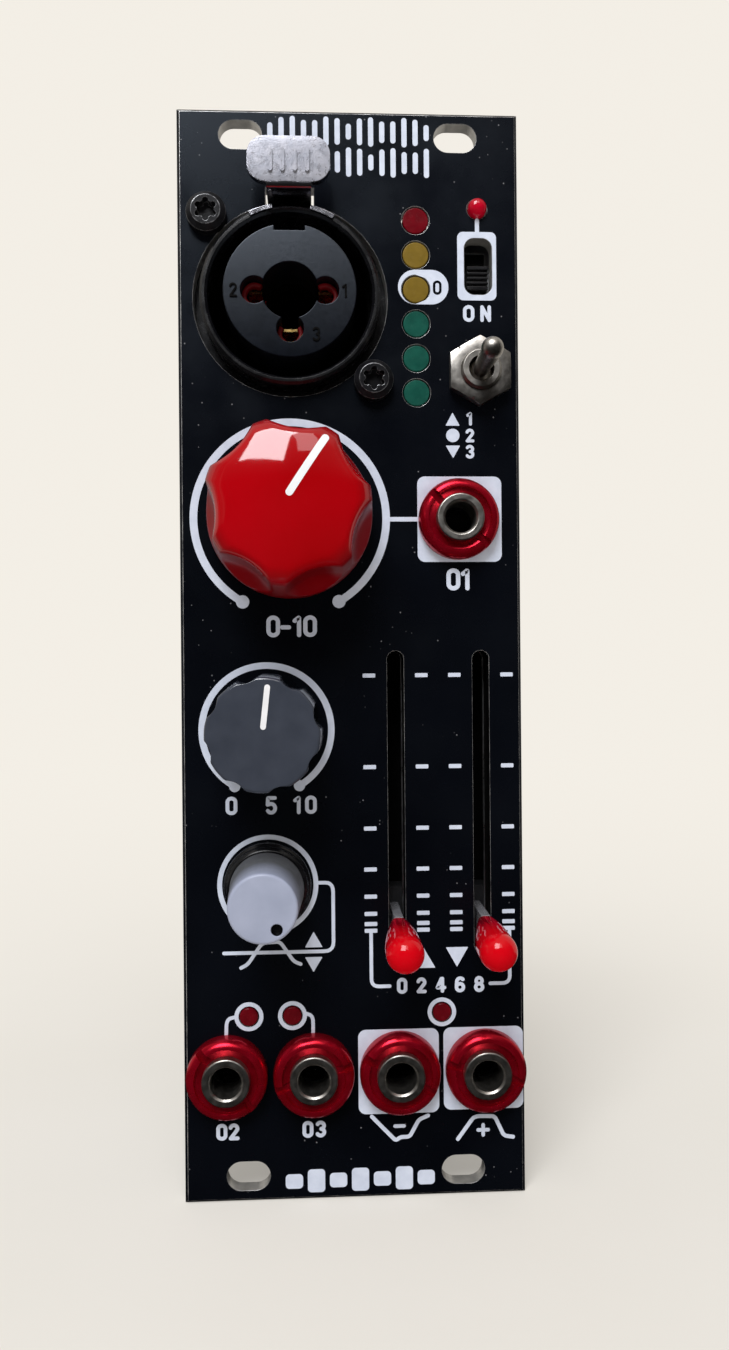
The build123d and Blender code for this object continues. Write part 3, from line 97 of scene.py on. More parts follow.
# %% [markdown]
# Every finish here is plain nodes: a noise pattern in Object coordinates stirs the colour, the gloss
# and the surface height a little, as in a real moulding, plating or paint. A picture mapped on would
# blur in close views. A few helpers wire this up, and each finish then says how coarse its grain is.

# %% Helpers for finishes
def node_tree(name):
    """New material with only its shader and output, and its nodes."""
    material = bpy.data.materials.new(name)
    material.use_nodes = True
    return material, material.node_tree


def feed(tree, socket, value):
    """Put a number, a colour or another node's output on a socket."""
    if isinstance(value, bpy.types.NodeSocket):
        tree.links.new(value, socket)
    else:
        socket.default_value = (*value, 1) if isinstance(value, tuple) else value


def wired(tree, **looks):
    """Feed the shader's sockets, each by its name with underscores."""
    for name, value in looks.items():
        feed(tree, tree.nodes["Principled BSDF"].inputs[name.replace("_", " ")], value)


def coordinates(tree):
    """Object coordinates, which are metres in the module's frame."""
    return tree.nodes.new("ShaderNodeTexCoord").outputs["Object"]


def noise(tree, size, detail=3.0, stretch=None):
    """Noise whose blobs measure about this many millimetres, drawn out along an axis if asked."""
    texture = tree.nodes.new("ShaderNodeTexNoise")
    texture.inputs["Scale"].default_value = 1 / (size * mm)
    texture.inputs["Detail"].default_value = detail
    source = coordinates(tree)
    if stretch:
        mapping = tree.nodes.new("ShaderNodeMapping")
        mapping.inputs["Scale"].default_value = stretch
        tree.links.new(source, mapping.inputs["Vector"])
        source = mapping.outputs["Vector"]
    tree.links.new(source, texture.inputs["Vector"])
    return texture.outputs["Fac"]


def spread(tree, value, low, high, start=0.3, stop=0.7):
    """The value's range from start to stop carried over to low to high."""
    remap = tree.nodes.new("ShaderNodeMapRange")
    for socket, number in zip(remap.inputs, (value, start, stop, low, high)):
        feed(tree, socket, number)
    return remap.outputs["Result"]


def graded(tree, axis, low, high, start, stop):
    """Value from low to high while an Object coordinate goes from start to stop, in metres."""
    parts = tree.nodes.new("ShaderNodeSeparateXYZ")
    tree.links.new(coordinates(tree), parts.inputs["Vector"])
    return spread(tree, parts.outputs[axis], low, high, start, stop)


def combined(tree, operation, first, second):
    """Result of an arithmetic node on two values."""
    reckoner = tree.nodes.new("ShaderNodeMath")
    reckoner.operation = operation
    feed(tree, reckoner.inputs[0], first)
    feed(tree, reckoner.inputs[1], second)
    return reckoner.outputs["Value"]


def blended(tree, share, first, second):
    """Colour from the first to the second, each a colour or another node's colour."""
    mix = tree.nodes.new("ShaderNodeMix")
    mix.data_type = "RGBA"
    tree.links.new(share, mix.inputs["Factor"])
    colours = [socket for socket in mix.inputs if socket.type == "RGBA"]
    feed(tree, colours[0], first)
    feed(tree, colours[1], second)
    return [socket for socket in mix.outputs if socket.type == "RGBA"][0]


def stirred(tree, size, dark, light):
    """Two colours stirred in blotches of this size."""
    return blended(tree, spread(tree, noise(tree, size), 0, 1), dark, light)


def relief(tree, value, depth):
    """Surface height from a value, its full range being this many millimetres deep."""
    bump = tree.nodes.new("ShaderNodeBump")
    bump.inputs["Distance"].default_value = depth * mm
    bump.inputs["Strength"].default_value = 1.0
    tree.links.new(value, bump.inputs["Height"])
    return bump.outputs["Normal"]


def finish(name, dark, light, blotch, gloss, grain, depth, metal=0.0, specular=0.5, stretch=None, **own):
    """Finish stirred between two colours in blotches, with a gloss range and a grain of a depth."""
    material, tree = node_tree(name)
    uneven = spread(tree, noise(tree, grain * 3, 4.0, stretch), *gloss)
    wired(tree, Base_Color=stirred(tree, blotch, dark, light), Roughness=uneven, Metallic=metal,
          Normal=relief(tree, noise(tree, grain), depth), Specular_IOR_Level=specular, **own)
    return material


# %% [markdown]
# The panel is aluminium under black enamel. The enamel is smooth and deep, and has a few pale dust
# specks, each a small dot at the heart of a Voronoi cell, kept only where a second noise is high. The
# walls of its holes and slots are the bare milled metal, with fine lines along the cut, and its
# rounded rims are bare too, so they show as hair-thin bright arcs. The walls of the two fader slots
# are painted near black instead, as painted shade. White ink lies on the enamel.

# %% Panel finishes
def enamel():
    """Black enamel: a speck is a cell's distance that is near zero, times a noise that is high."""
    material, tree = node_tree("black_enamel")
    cells = tree.nodes.new("ShaderNodeTexVoronoi")
    cells.inputs["Scale"].default_value = 1 / (1.1 * mm)
    tree.links.new(coordinates(tree), cells.inputs["Vector"])
    dots = spread(tree, cells.outputs["Distance"], 1, 0, 0.05, 0.1)
    rare = spread(tree, noise(tree, 3.1, 1.0), 0, 1, 0.56, 0.6)
    depths = stirred(tree, 22.0, (0.0012, 0.0016, 0.003), (0.003, 0.0038, 0.0064))
    speckled = blended(tree, combined(tree, "MULTIPLY", dots, rare), depths, (0.16, 0.16, 0.17))
    wired(tree, Base_Color=speckled, Roughness=spread(tree, noise(tree, 6.0, 5.0), 0.2, 0.34),
          Normal=relief(tree, noise(tree, 0.35), 0.0012), Specular_IOR_Level=0.16,
          Specular_Tint=(0.72, 0.84, 1.0))
    return material


black_enamel = enamel()
milled_wall = finish("milled_wall", (0.42, 0.41, 0.39), (0.62, 0.6, 0.57), 1.5, (0.3, 0.5), 0.16, 0.006,
                     metal=0.75, stretch=(1, 0.12, 1))
bare_rim = finish("bare_rim", (0.14, 0.14, 0.15), (0.6, 0.59, 0.58), 2.4, (0.2, 0.36), 0.2, 0.004,
                  metal=0.55)
# The ink's faint blue is a painted reflection of the sky.
white_ink = finish("white_ink", (0.56, 0.61, 0.73), (0.65, 0.7, 0.82), 1.2, (0.45, 0.62), 0.14, 0.004,
                   specular=0.3)
print("panel finishes made")

# %% [markdown]
# The sockets, switches and headers are black mouldings. The insert that faces the user has a fine
# spark-eroded grain, as its tool had. Its specular level grows towards the top: a painted sheen above,
# and painted shade at its foot, where the ring shades it. The ring round it is smoother. The
# combined socket's inner carrier is red, and shows at the bottom of its three contact holes.

# %% Plastic finishes
grained_black = finish("grained_black", (0.0024, 0.003, 0.005), (0.0045, 0.0056, 0.009), 1.6,
                       (0.28, 0.36), 0.14, 0.006, Specular_Tint=(0.78, 0.87, 1.0))
insert_low, insert_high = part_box("combo_insert")
# Painted sheen: the specular level rises from the foot to the top of the insert, standing in for light from
# above and the ring's shade below.
painted_sheen_towards_top = graded(grained_black.node_tree, "Z", 0.06, 0.9, insert_low.z, insert_high.z)
wired(grained_black.node_tree, Specular_IOR_Level=painted_sheen_towards_top)
smooth_black = finish("smooth_black", (0.0022, 0.0022, 0.003), (0.006, 0.006, 0.0075), 3.0, (0.2, 0.3),
                      0.5, 0.0012, specular=0.6)
housing_black = finish("housing_black", (0.012, 0.012, 0.013), (0.022, 0.022, 0.024), 2.4,
                       (0.38, 0.55), 0.25, 0.008, specular=0.4)
carrier_red = finish("carrier_red", (0.7, 0.006, 0.01), (0.84, 0.01, 0.016), 1.4, (0.35, 0.5), 0.2,
                     0.004)
# Painted shade: a far darker copy of the carrier's red, for the sleeves down in the contact holes.
sleeve_red_painted_shade = finish("sleeve_red_painted_shade", (0.09, 0.0005, 0.002), (0.15, 0.001, 0.004), 1.2, (0.4, 0.55), 0.3,
                    0.003, specular=0.2)
# A dull near-black finish: the real pot and fader tracks, and also painted shade on the fader slot walls,
# the fader cases, the carrier round its holes and the contact numbers.
track_dark_and_painted_shade = finish("track_dark_and_painted_shade", (0.0016, 0.0015, 0.0016), (0.004, 0.0036, 0.0036), 1.0, (0.6, 0.8),
                    0.3, 0.006, specular=0.06)
ceramic = finish("ceramic", (0.18, 0.13, 0.1), (0.34, 0.29, 0.24), 2.2, (0.4, 0.6), 0.2, 0.004)
print("plastic finishes made")

# %% [markdown]
# The metal parts are plated or anodised. Plating follows the marks of the tool below it, so its gloss
# changes in fine lines. Red anodising is a clear dye over bright metal: a shader between metal and
# plastic with a deep red colour gives its satin body and its hot edges in one go.

# %% Metal finishes
chrome = finish("chrome", (0.58, 0.58, 0.65), (0.76, 0.75, 0.81), 1.8, (0.12, 0.24), 0.5, 0.01, metal=1.0)
tab_chrome = finish("tab_chrome", (0.38, 0.39, 0.45), (0.53, 0.53, 0.59), 0.9, (0.24, 0.4), 0.16, 0.014,
                    metal=0.6)
nickel = finish("nickel", (0.34, 0.32, 0.29), (0.54, 0.51, 0.47), 0.8, (0.3, 0.44), 0.2, 0.005,
                metal=1.0)
spring_steel = finish("spring_steel", (0.42, 0.42, 0.42), (0.58, 0.57, 0.55), 1.4, (0.25, 0.4), 0.25,
                      0.003, metal=1.0)
case_steel = finish("case_steel", (0.5, 0.51, 0.52), (0.66, 0.66, 0.66), 4.0, (0.24, 0.42), 0.4, 0.004,
                    metal=1.0)
contact_gold = finish("contact_gold", (0.62, 0.4, 0.12), (0.85, 0.6, 0.24), 1.0, (0.2, 0.34), 0.2, 0.002,
                      metal=1.0)
anodised_red = finish("anodised_red", (0.4, 0.001, 0.011), (0.54, 0.003, 0.022), 1.6, (0.18, 0.28), 0.3,
                      0.004, metal=0.76)
screw_black = finish("screw_black", (0.003, 0.003, 0.004), (0.01, 0.01, 0.012), 0.8, (0.26, 0.42), 0.3,
                     0.008, specular=0.16)
screw_worn = finish("screw_worn", (0.012, 0.012, 0.014), (0.36, 0.36, 0.37), 0.7, (0.22, 0.4), 0.2, 0.012,
                    metal=0.8)
print("socket and metal finishes made")

# %% [markdown]
# The knobs are glossy red, satin slate and pale grey. The lamps are diffusing plastic in red, mustard
# and green, dull while the module is off, and one is a clear bright red dome. The fader caps are
# clear red plastic: dark and streaked round the lever, and a brighter red towards the round head, which
# is painted light for the light the head gathers.

# %% Knob and lamp finishes
def red_knob_finish():
    """Deep red plastic, polished on the crown, rougher and less glossy down its flutes, where a darker red
    is painted shade.
    """
    material, tree = node_tree("knob_red")
    crown_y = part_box("gain_knob")[0].y
    # Painted shade: below the crown, down the flutes, the red darkens; the roughness rises and the specular
    # level falls there too.
    flute_shade_and_dulling = graded(tree, "Y", 0, 1, crown_y + 1.3 * mm, crown_y + 3.2 * mm)
    polished = stirred(tree, 9.0, (0.34, 0.0004, 0.002), (0.4, 0.0007, 0.004))
    dull = combined(tree, "MAXIMUM", spread(tree, noise(tree, 7.2, 4.0), 0.045, 0.075),
                    spread(tree, flute_shade_and_dulling, 0.05, 0.34, 0, 1))
    wired(tree, Base_Color=blended(tree, flute_shade_and_dulling, polished, (0.2, 0.0004, 0.003)), Roughness=dull,
          Normal=relief(tree, noise(tree, 2.4), 0.002),
          Specular_IOR_Level=spread(tree, flute_shade_and_dulling, 0.7, 0.2, 0, 1))
    return material


def pale_finish():
    """Cloudy grey plastic: lavender white at the top, and darker down the side towards the panel."""
    material, tree = node_tree("knob_pale")
    top_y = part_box("polarity_knob")[0].y
    deep = graded(tree, "Y", 0, 1, top_y + 0.2 * mm, top_y + 5.5 * mm)
    cloudy = stirred(tree, 3.4, (0.31, 0.34, 0.45), (0.37, 0.4, 0.52))
    wired(tree, Base_Color=blended(tree, deep, cloudy, (0.085, 0.088, 0.095)),
          Roughness=spread(tree, noise(tree, 0.9), 0.34, 0.44),
          Normal=relief(tree, noise(tree, 0.3), 0.004), Specular_IOR_Level=0.4)
    return material


def cap_finish(bright_height=9.4, dark_height=5.2):
    """Clear red plastic: dark and streaked at the foot, and a brighter red towards the round head as painted
    light.
    """
    material, tree = node_tree("cap_red")
    # Painted light: the red brightens from the foot towards the head.
    painted_light_towards_head = graded(tree, "Y", 1, 0, (front - bright_height) * mm, (front - dark_height) * mm)
    streaks = spread(tree, noise(tree, 0.5, 2.0, (1, 0.08, 1)), 0, 1, 0.42, 0.6)
    foot_colour = blended(tree, streaks, (0.16, 0.0008, 0.006), (0.42, 0.004, 0.02))
    wired(tree, Base_Color=blended(tree, painted_light_towards_head, foot_colour, (0.6, 0.0016, 0.007)),
          Roughness=spread(tree, noise(tree, 2.2), 0.05, 0.1), Specular_IOR_Level=0.36)
    return material


knob_red, knob_pale, cap_red = red_knob_finish(), pale_finish(), cap_finish()
knob_slate = finish("knob_slate", (0.036, 0.042, 0.058), (0.047, 0.054, 0.073), 3.0, (0.09, 0.15), 0.4,
                    0.002, specular=0.7)
pointer_white = finish("pointer_white", (0.78, 0.78, 0.8), (0.86, 0.86, 0.88), 1.6, (0.35, 0.5), 0.3,
                       0.003)
dull_lamp = {"gloss": (0.2, 0.3), "grain": 0.25, "depth": 0.003, "specular": 0.14}
lamp_red = finish("lamp_red", (0.1, 0.0004, 0.004), (0.15, 0.0008, 0.006), 1.2, **dull_lamp)
lamp_yellow = finish("lamp_yellow", (0.155, 0.1, 0.014), (0.2, 0.13, 0.02), 1.2, **dull_lamp)
lamp_green = finish("lamp_green", (0.006, 0.062, 0.045), (0.01, 0.086, 0.062), 1.2, **dull_lamp)
lamp_clear = finish("lamp_clear", (0.4, 0.001, 0.012), (0.5, 0.002, 0.02), 0.9, (0.06, 0.12), 0.4, 0.004,
                    specular=0.6)
lever_grey = finish("lever_grey", (0.2, 0.2, 0.22), (0.32, 0.32, 0.34), 1.4, (0.12, 0.25), 0.5, 0.004,
                    Transmission_Weight=0.35)
print("knob and lamp finishes made")

# %% [markdown]
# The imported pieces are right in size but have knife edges. A dressed copy keeps such a piece's shape:
# its loose triangles are merged, its flat faces joined, and a narrow Bevel rounds its edges, so they
# catch the light as moulded and milled edges do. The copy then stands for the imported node. A ring that
# a slot cuts open has a hooked flat face, which is split into pieces without hollow corners, so that no
# triangle of it can lie across the ring's opening.

# %% Helpers for pieces and dressed copies
open_rings = ("combo_bezel", "toggle_bushing")
edge_angle, flat_angle, wall_slant = 32, 0.4, 0.6


def linked(name, data):
    """Object of this name in the scene."""
    made = bpy.data.objects.new(name, data)
    bpy.context.scene.collection.objects.link(made)
    return made


def piece(name, mesh, body, slot, sharp, *materials):
    """Object of a mesh, smooth up to this angle, that rides on a body."""
    mesh.polygons.foreach_set("use_smooth", np.ones(len(mesh.polygons), bool))
    mesh.set_sharp_from_angle(angle=radians(sharp))
    for material in materials:
        mesh.materials.append(material)
    made = linked(name, mesh)
    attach(made, body)
    return made


def of_faces(mesh, field):
    """The faces' centres or normals, as rows of x, y and z."""
    values = np.empty(len(mesh.polygons) * 3, np.float32)
    mesh.polygons.foreach_get(field, values)
    return values.reshape(-1, 3).T


def walls(mesh):
    """Which faces look sideways, as a hole's wall does."""
    return np.abs(of_faces(mesh, "normal")[1]) < wall_slant


def dressed(node, body, slot, material, edge, edge_material=None, wall_material=None, steps=2):
    """Merged, smoothly shaded copy of a node with rounded edges of this width."""
    mesh = nodes[node].data.copy()
    mesh.name = node + "_dressed"
    mesh.materials.clear()
    if "custom_normal" in mesh.attributes:
        mesh.attributes.remove(mesh.attributes["custom_normal"])
    work = bmesh.new()
    work.from_mesh(mesh)
    bmesh.ops.remove_doubles(work, verts=work.verts, dist=0.0005 * mm)
    bmesh.ops.dissolve_limit(work, angle_limit=radians(flat_angle), verts=work.verts, edges=work.edges)
    if node in open_rings:
        bmesh.ops.connect_verts_concave(work, faces=work.faces)
    work.to_mesh(mesh)
    work.free()
    copy = piece(node + "_finished", mesh, body, slot, edge_angle, material, wall_material or material,
                 edge_material or material)
    mesh.polygons.foreach_set("material_index", walls(mesh).astype(np.int32))
    bevel = copy.modifiers.new("worn_edges", "BEVEL")
    bevel.width = edge * mm
    bevel.segments = steps
    bevel.limit_method = "ANGLE"
    bevel.angle_limit = radians(edge_angle)
    bevel.harden_normals = True
    bevel.material = 2
    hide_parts(node)
    return copy


def painted(copy, test, material):
    """Give a copy's faces a finish of their own, as its fourth layer, where a test of their middle's x, y
    and z is true."""
    mesh = copy.data
    chosen = test(*of_faces(mesh, "center") / mm)
    mesh.materials.append(material)
    layers = np.empty(len(mesh.polygons), np.int32)
    mesh.polygons.foreach_get("material_index", layers)
    mesh.polygons.foreach_set("material_index", np.where(chosen, 3, layers).astype(np.int32))
    print(copy.name, "has", len(chosen), "faces,", int(chosen.sum()), "of them in", material.name)


def from_slots(x):
    """Distance from the nearer fader slot's middle line."""
    return np.abs(x - np.array([[5.08], [15.24]])).min(0)


panel = dressed("front_panel", "module", "panel_black", black_enamel, 0.13, bare_rim, milled_wall, 4)
slot_half, slot_foot, slot_head = 1.3, -34.5, 1.2
# Painted shade: the fader slots' walls are near black instead of bare metal.
painted(panel, lambda x, y, z: walls(panel.data) & (from_slots(x) < slot_half)
        & (z > slot_foot) & (z < slot_head), track_dark_and_painted_shade)

# %% [markdown]
# The socket, the switches, the nuts and the boards are dressed in the same way, each with the finish
# of the real part and with an edge as wide as its moulding or its stamping has. Most ride on the
# module itself, and a few on the part of a control that moves.

# %% Dress the parts behind and in the panel
dressing = (
    ("socket_black", smooth_black, {"combo_bezel": 0.16}),
    ("socket_black", grained_black, {"combo_insert": 0.14}),
    ("bright_chrome", chrome, {"combo_clip": 0.06, "latch_lever": 0.14}),
    ("housing_black", housing_black, {"combo_housing": 0.3, "jack_bodies": 0.12, "link_headers": 0.1,
                                      "link_sockets": 0.1, "power_shroud": 0.15}),
    ("lamp_red", lamp_red, {"lamps_red": 0.12}),
    ("lamp_yellow", lamp_yellow, {"lamps_yellow": 0.12}),
    ("lamp_green", lamp_green, {"lamps_green": 0.12}),
    ("case_steel", case_steel, {"slide_switch_frame": 0.08, "pot_cases": 0.3, "fader_cases": 0.2,
                                "capacitor_cans": 0.12}),
    ("switch_black", housing_black, {"slide_switch_base": 0.1, "toggle_body": 0.15,
                                     "circuit_packages": 0.08}),
    ("switch_black", smooth_black, {"slide_switch_slider": 0.07}),
    ("nickel", nickel, {"toggle_bushing": 0.04, "toggle_hardware": 0.09, "jack_barrels": 0.1,
                        "pot_hardware": 0.1, "pot_bushings": 0.1, "board_pillars": 0.12}),
    ("nut_red", anodised_red, {"jack_nuts": 0.07}),
    ("round_nut_black", smooth_black, {"polarity_nut": 0.14}),
    ("spring_metal", spring_steel, {"pillar_screws": 0.12}),
    ("chip_ceramic", ceramic, {"chip_parts": 0.04}),
    ("knob_pale", knob_pale, {"polarity_knob": 0.12}),
    ("lever_clear", lever_grey, {"rise_lever": 0.1, "fall_lever": 0.1}),
)
moving = {"slide_switch_slider": "supply_slider", "polarity_knob": "polarity_rotor",
          "rise_lever": "rise_fader", "fall_lever": "fall_fader", "latch_lever": "latch"}
copies = {}
for slot, material, edges in dressing:
    for node, edge in edges.items():
        copies[node] = dressed(node, moving.get(node, "module"), slot, material, edge)
dressed("combo_screws", "module", "screw_black", screw_black, 0.1, screw_worn)
# The carrier's rounded edges are near black too, as painted shade.
carrier = dressed("combo_carrier", "module", "carrier_red", carrier_red, 0.1, track_dark_and_painted_shade)
print("dressed", len(copies) + 2, "nodes")

# %% [markdown]
# Some copies show more than one finish. The fader cases are painted near black where the slots let one
# look in, as painted shade, one red lamp is clear, the carrier is painted near black away from the
# insert's contact holes, also as painted shade, and a capacitor's aluminium cup stands on a black base.
# The faces are told apart by the place of their middle.

# %% Second finishes
# Painted shade: the steel fader cases are near black where the slots show them.
painted(copies["fader_cases"], lambda x, y, z: from_slots(x) < 2 * slot_half, track_dark_and_painted_shade)
dome_x, dome_z, dome_reach = 15.26, 52.87, 1.6
painted(copies["lamps_red"], lambda x, y, z: np.hypot(x - dome_x, z - dome_z) < dome_reach, lamp_clear)
combo_x, combo_z = middle("combo_insert")
insert_radius = (insert_high.x - insert_low.x) / 2 / mm
hole_radius, reach_out, drop = np.array((0.2013, 0.5325, 0.5714)) * insert_radius
holes = np.array([[combo_x - reach_out, combo_z], [combo_x + reach_out, combo_z], [combo_x, combo_z - drop]])
# Painted shade: the red carrier is near black away from its contact holes.
painted(carrier, lambda x, y, z: np.hypot(x - holes[:, :1], z - holes[:, 1:]).min(0) >= hole_radius,
        track_dark_and_painted_shade)
base_thickness = 1.05
cup_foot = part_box("capacitor_cans")[0].y / mm + base_thickness
painted(copies["capacitor_cans"], lambda x, y, z: y < cup_foot, housing_black)

# %% [markdown]
# Contacts, springs and pins are small, sit inside, and are right as they are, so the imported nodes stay
# and only get their metal. The same holds for the tracks and carriages in the pots and faders.

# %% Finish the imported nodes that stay
kept = {
    contact_gold: "combo_contacts header_pins",
    spring_steel: "combo_jack_springs latch_spring lamp_leads jack_springs control_terminals circuit_leads",
    track_dark_and_painted_shade: "pot_tracks fader_tracks",
    nickel: "gain_shaft envelope_shaft polarity_shaft",
    housing_black: "rise_carriage fall_carriage",
}
for material, names in kept.items():
    for node in names.split():
        nodes[node].data.materials.clear()
        nodes[node].data.materials.append(material)
print("finishes for packed nodes", len(kept))

# %% [markdown]
# New surfaces come from numbers: points on a grid of two parameters, and quads between neighbours. A
# row may close on itself, as a ring does, and a row of equal points is a pole, whose doubles are then
# merged. Normals are worked out once after that, so all faces look outwards.

# %% Helpers for surfaces
def joined(*parts):
    """Lists or arrays of numbers or points, one after another."""
    return np.concatenate(parts)


def grid_of(x, y, z):
    """Grid of points from three arrays, each spread to the shape of all."""
    return np.stack(np.broadcast_arrays(x, y, z), -1)


def quads(rows, columns, rows_close, columns_close):
    """Corners of the quads between neighbours of a grid of points."""
    row = np.arange(rows if rows_close else rows - 1)[:, None]
    column = np.arange(columns if columns_close else columns - 1)[None, :]
    below, beside = (row + 1) % rows * columns, (column + 1) % columns
    corners = (row * columns + column, row * columns + beside, below + beside, below + column)
    return np.stack(corners, -1).reshape(-1, 4)


def surface(name, shells, body, slot, material, sharp):
    """Object from shells, each a grid of points in millimetres and whether its rows and columns close."""
    points, faces, count = [], [], 0
    for grid, rows_close, columns_close in shells:
        faces.append(quads(*grid.shape[:2], rows_close, columns_close) + count)
        points.append(grid.reshape(-1, 3))
        count += len(points[-1])
    mesh = bpy.data.meshes.new(name)
    mesh.from_pydata((joined(*points) * mm).tolist(), [], joined(*faces).tolist())
    work = bmesh.new()
    work.from_mesh(mesh)
    bmesh.ops.remove_doubles(work, verts=work.verts, dist=0.0004 * mm)
    bmesh.ops.recalc_face_normals(work, faces=work.faces)
    work.to_mesh(mesh)
    work.free()
    return piece(name, mesh, body, slot, sharp, material)


def full_turn(count):
    """This many angles, evenly round a circle."""
    return np.linspace(0, 2 * pi, count, endpoint=False)


def spun(x, z, radius, angle, y):
    """Points at this radius and angle about the axis at x, z, and at depth y."""
    return grid_of(x + radius * np.cos(angle), y, z + radius * np.sin(angle))


def turned(profile, x, z, segments):
    """A profile of radius and height before the panel, turned a full circle about the axis at x, z."""
    radius, height = np.array(profile, float).T[:, :, None]
    return spun(x, z, radius, full_turn(segments), front - height), False, True


def remade(shell, depth):
    """A shell whose depths y are worked out anew, by a function of its points' x, y and z."""
    grid, rows_close, columns_close = shell
    x, y, z = np.moveaxis(grid, -1, 0)
    return grid_of(x, depth(x, y, z), z), rows_close, columns_close


def arc(x, z, radius, start, stop, tall=None, steps=48):
    """Arc round a point from one angle to another, counted from the first axis towards the second."""
    angle = np.radians(np.linspace(start, stop, steps))
    return np.stack([x + radius * np.cos(angle), z + (tall or radius) * np.sin(angle)], -1)


# %% [markdown]
# The gain knob is a domed turning with seven flutes. A flute is what a ball-ended cutter takes away:
# along a turn angle, the wall lies at the near side of the cutter's circle. The point's radius is the
# smaller of the profile's and the cutter's. Within a small width of their corner a square term takes
# a little more away, so the flutes have the soft lip of a moulding.

# %% Gain knob
inlay_rise, recess, recess_height, uncut_radius = 0.04, 5.35, 4.4, 5.4


def fluted(profile, x, z, count, phase, cutter, reach, ball_height, ease, segments=630):
    """Turned profile cut by flutes: radius is the eased lesser of the profile's radius and the near side
    of a cutter of this radius, whose axis runs at this reach and ends in a ball at this height."""
    radius, height = np.array(profile, float).T[:, :, None]
    angle = full_turn(segments)
    pitch = 2 * pi / count
    off = (pi / 2 - angle - radians(phase)) % pitch - pitch / 2
    below = np.maximum(ball_height - height, 0)
    inside = cutter**2 - below**2 - (reach * np.sin(off)) ** 2
    wall = np.where(inside > 0, reach * np.cos(off) - np.sqrt(np.maximum(inside, 0)), 2 * reach)
    corner = np.maximum(ease - np.abs(radius - wall), 0)
    eased = np.minimum(radius, wall) - corner**2 / (4 * ease)
    return spun(x, z, np.where(radius > uncut_radius, eased, radius), angle, front - height), False, True


gain_x, gain_z = middle("gain_shaft")
gain_low, gain_high = heights("gain_knob")
gain_radius, shoulder, dome, rim_size, rim_sink = 9.55, 9.05, 22.0, 2.95, 3.95
gain_crest = gain_high - inlay_rise
rim = arc(shoulder - rim_size, gain_crest - rim_sink, rim_size, 4, 72, steps=18)
crown = np.linspace(rim[-1, 0], 0, 16)[1:]
wall_height = np.linspace(gain_low + 0.3, rim[0, 1], 66)[:-1]
wall_radius = np.interp(wall_height, (gain_low, gain_low + 1.7, rim[0, 1]),
                        (gain_radius - 0.02, gain_radius, rim[0, 0]))
gain_profile = joined(
    [(0, recess_height), (recess, recess_height), (recess, gain_low), (gain_radius - 0.3, gain_low)],
    np.stack([wall_radius, wall_height], -1), rim,
    np.stack([crown, gain_crest - dome + np.sqrt(dome**2 - crown**2)], -1))
gain_turn = 32.6
gain_shell = fluted(gain_profile, gain_x, gain_z, 7, gain_turn, cutter=4.5, reach=12.35,
                    ball_height=gain_low + 6.2, ease=1.8)
gain_knob = surface("gain_knob_shell", [gain_shell], "gain_rotor", "knob_red", knob_red, 50)
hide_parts("gain_knob")
print("gain knob height", round(gain_high, 2), "faces", len(gain_knob.data.polygons))

# %% [markdown]
# The envelope knob is a flat-topped slate one with eight scallops that run its whole height, so its
# cutter has no ball end within reach. The same formula makes it.

# %% Envelope knob
envelope_x, envelope_z = middle("envelope_shaft")
envelope_low, envelope_high = heights("envelope_knob")
base, top, top_edge = 6.72, 6.3, 0.4
envelope_crest = envelope_high - inlay_rise
edge = arc(top - top_edge, envelope_crest - top_edge, top_edge, 0, 90, steps=10)
side = np.linspace(envelope_low + 0.2, edge[0, 1], 12)[:-1]
envelope_profile = joined(
    [(0, recess_height), (recess, recess_height), (recess, envelope_low), (base - 0.2, envelope_low)],
    np.stack([base - (base - top) * (side - envelope_low) / (edge[0, 1] - envelope_low), side], -1), edge,
    [(radius, envelope_crest) for radius in (5.6, 5.3, 3.0, 0)])
envelope_turn = 6.4
envelope_shell = fluted(envelope_profile, envelope_x, envelope_z, 8, envelope_turn, cutter=1.9, reach=7.74,
                        ball_height=-9.0, ease=0.3)
envelope_knob = surface("envelope_knob_shell", [envelope_shell], "envelope_rotor", "knob_grey", knob_slate,
                        40)
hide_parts("envelope_knob")
print("envelope knob height", round(envelope_high, 2))

# %% [markdown]
# A fader's cap is a pear: a narrow oval foot on the lever that swells to a round head. Its half width
# and half depth are smooth curves of the way along it, and the grid is that way times the turn round
# it. Both caps are the same surface at their own place.

# %% Fader caps
def pear(x, z, foot_height, length, head):
    """Oval of half width and half depth at each step along, ending in half a ball of the head's size. Its
    sections are superellipses, blunt as a rounded oblong at the foot and round at the head."""
    share = np.linspace(0, 1, 34)
    ball = np.radians(np.linspace(0, 90, 14))[1:]
    half_width = joined([0, 0.42 * head], head * (0.5 + 0.5 * np.sin(pi / 2 * np.minimum(share / 0.85, 1))),
                        head * np.cos(ball))[:, None]
    half_depth = joined([0, 0.9 * head], head * (0.98 + 0.05 * np.sin(pi * share) + 0.02 * share),
                        head * np.cos(ball))[:, None]
    height = joined([foot_height] * 2, foot_height + 0.12 + (length - 0.12) * share,
                    foot_height + length + head * np.sin(ball))[:, None]
    blunt = joined([3.4] * 2, 3.4 - 1.4 * np.minimum(share / 0.7, 1), [2.0] * len(ball))[:, None]
    run, rise = np.cos(full_turn(72)), np.sin(full_turn(72))
    return grid_of(x + half_width * np.sign(run) * np.abs(run) ** (2 / blunt), front - height,
                   z + half_depth * np.sign(rise) * np.abs(rise) ** (2 / blunt)), False, True


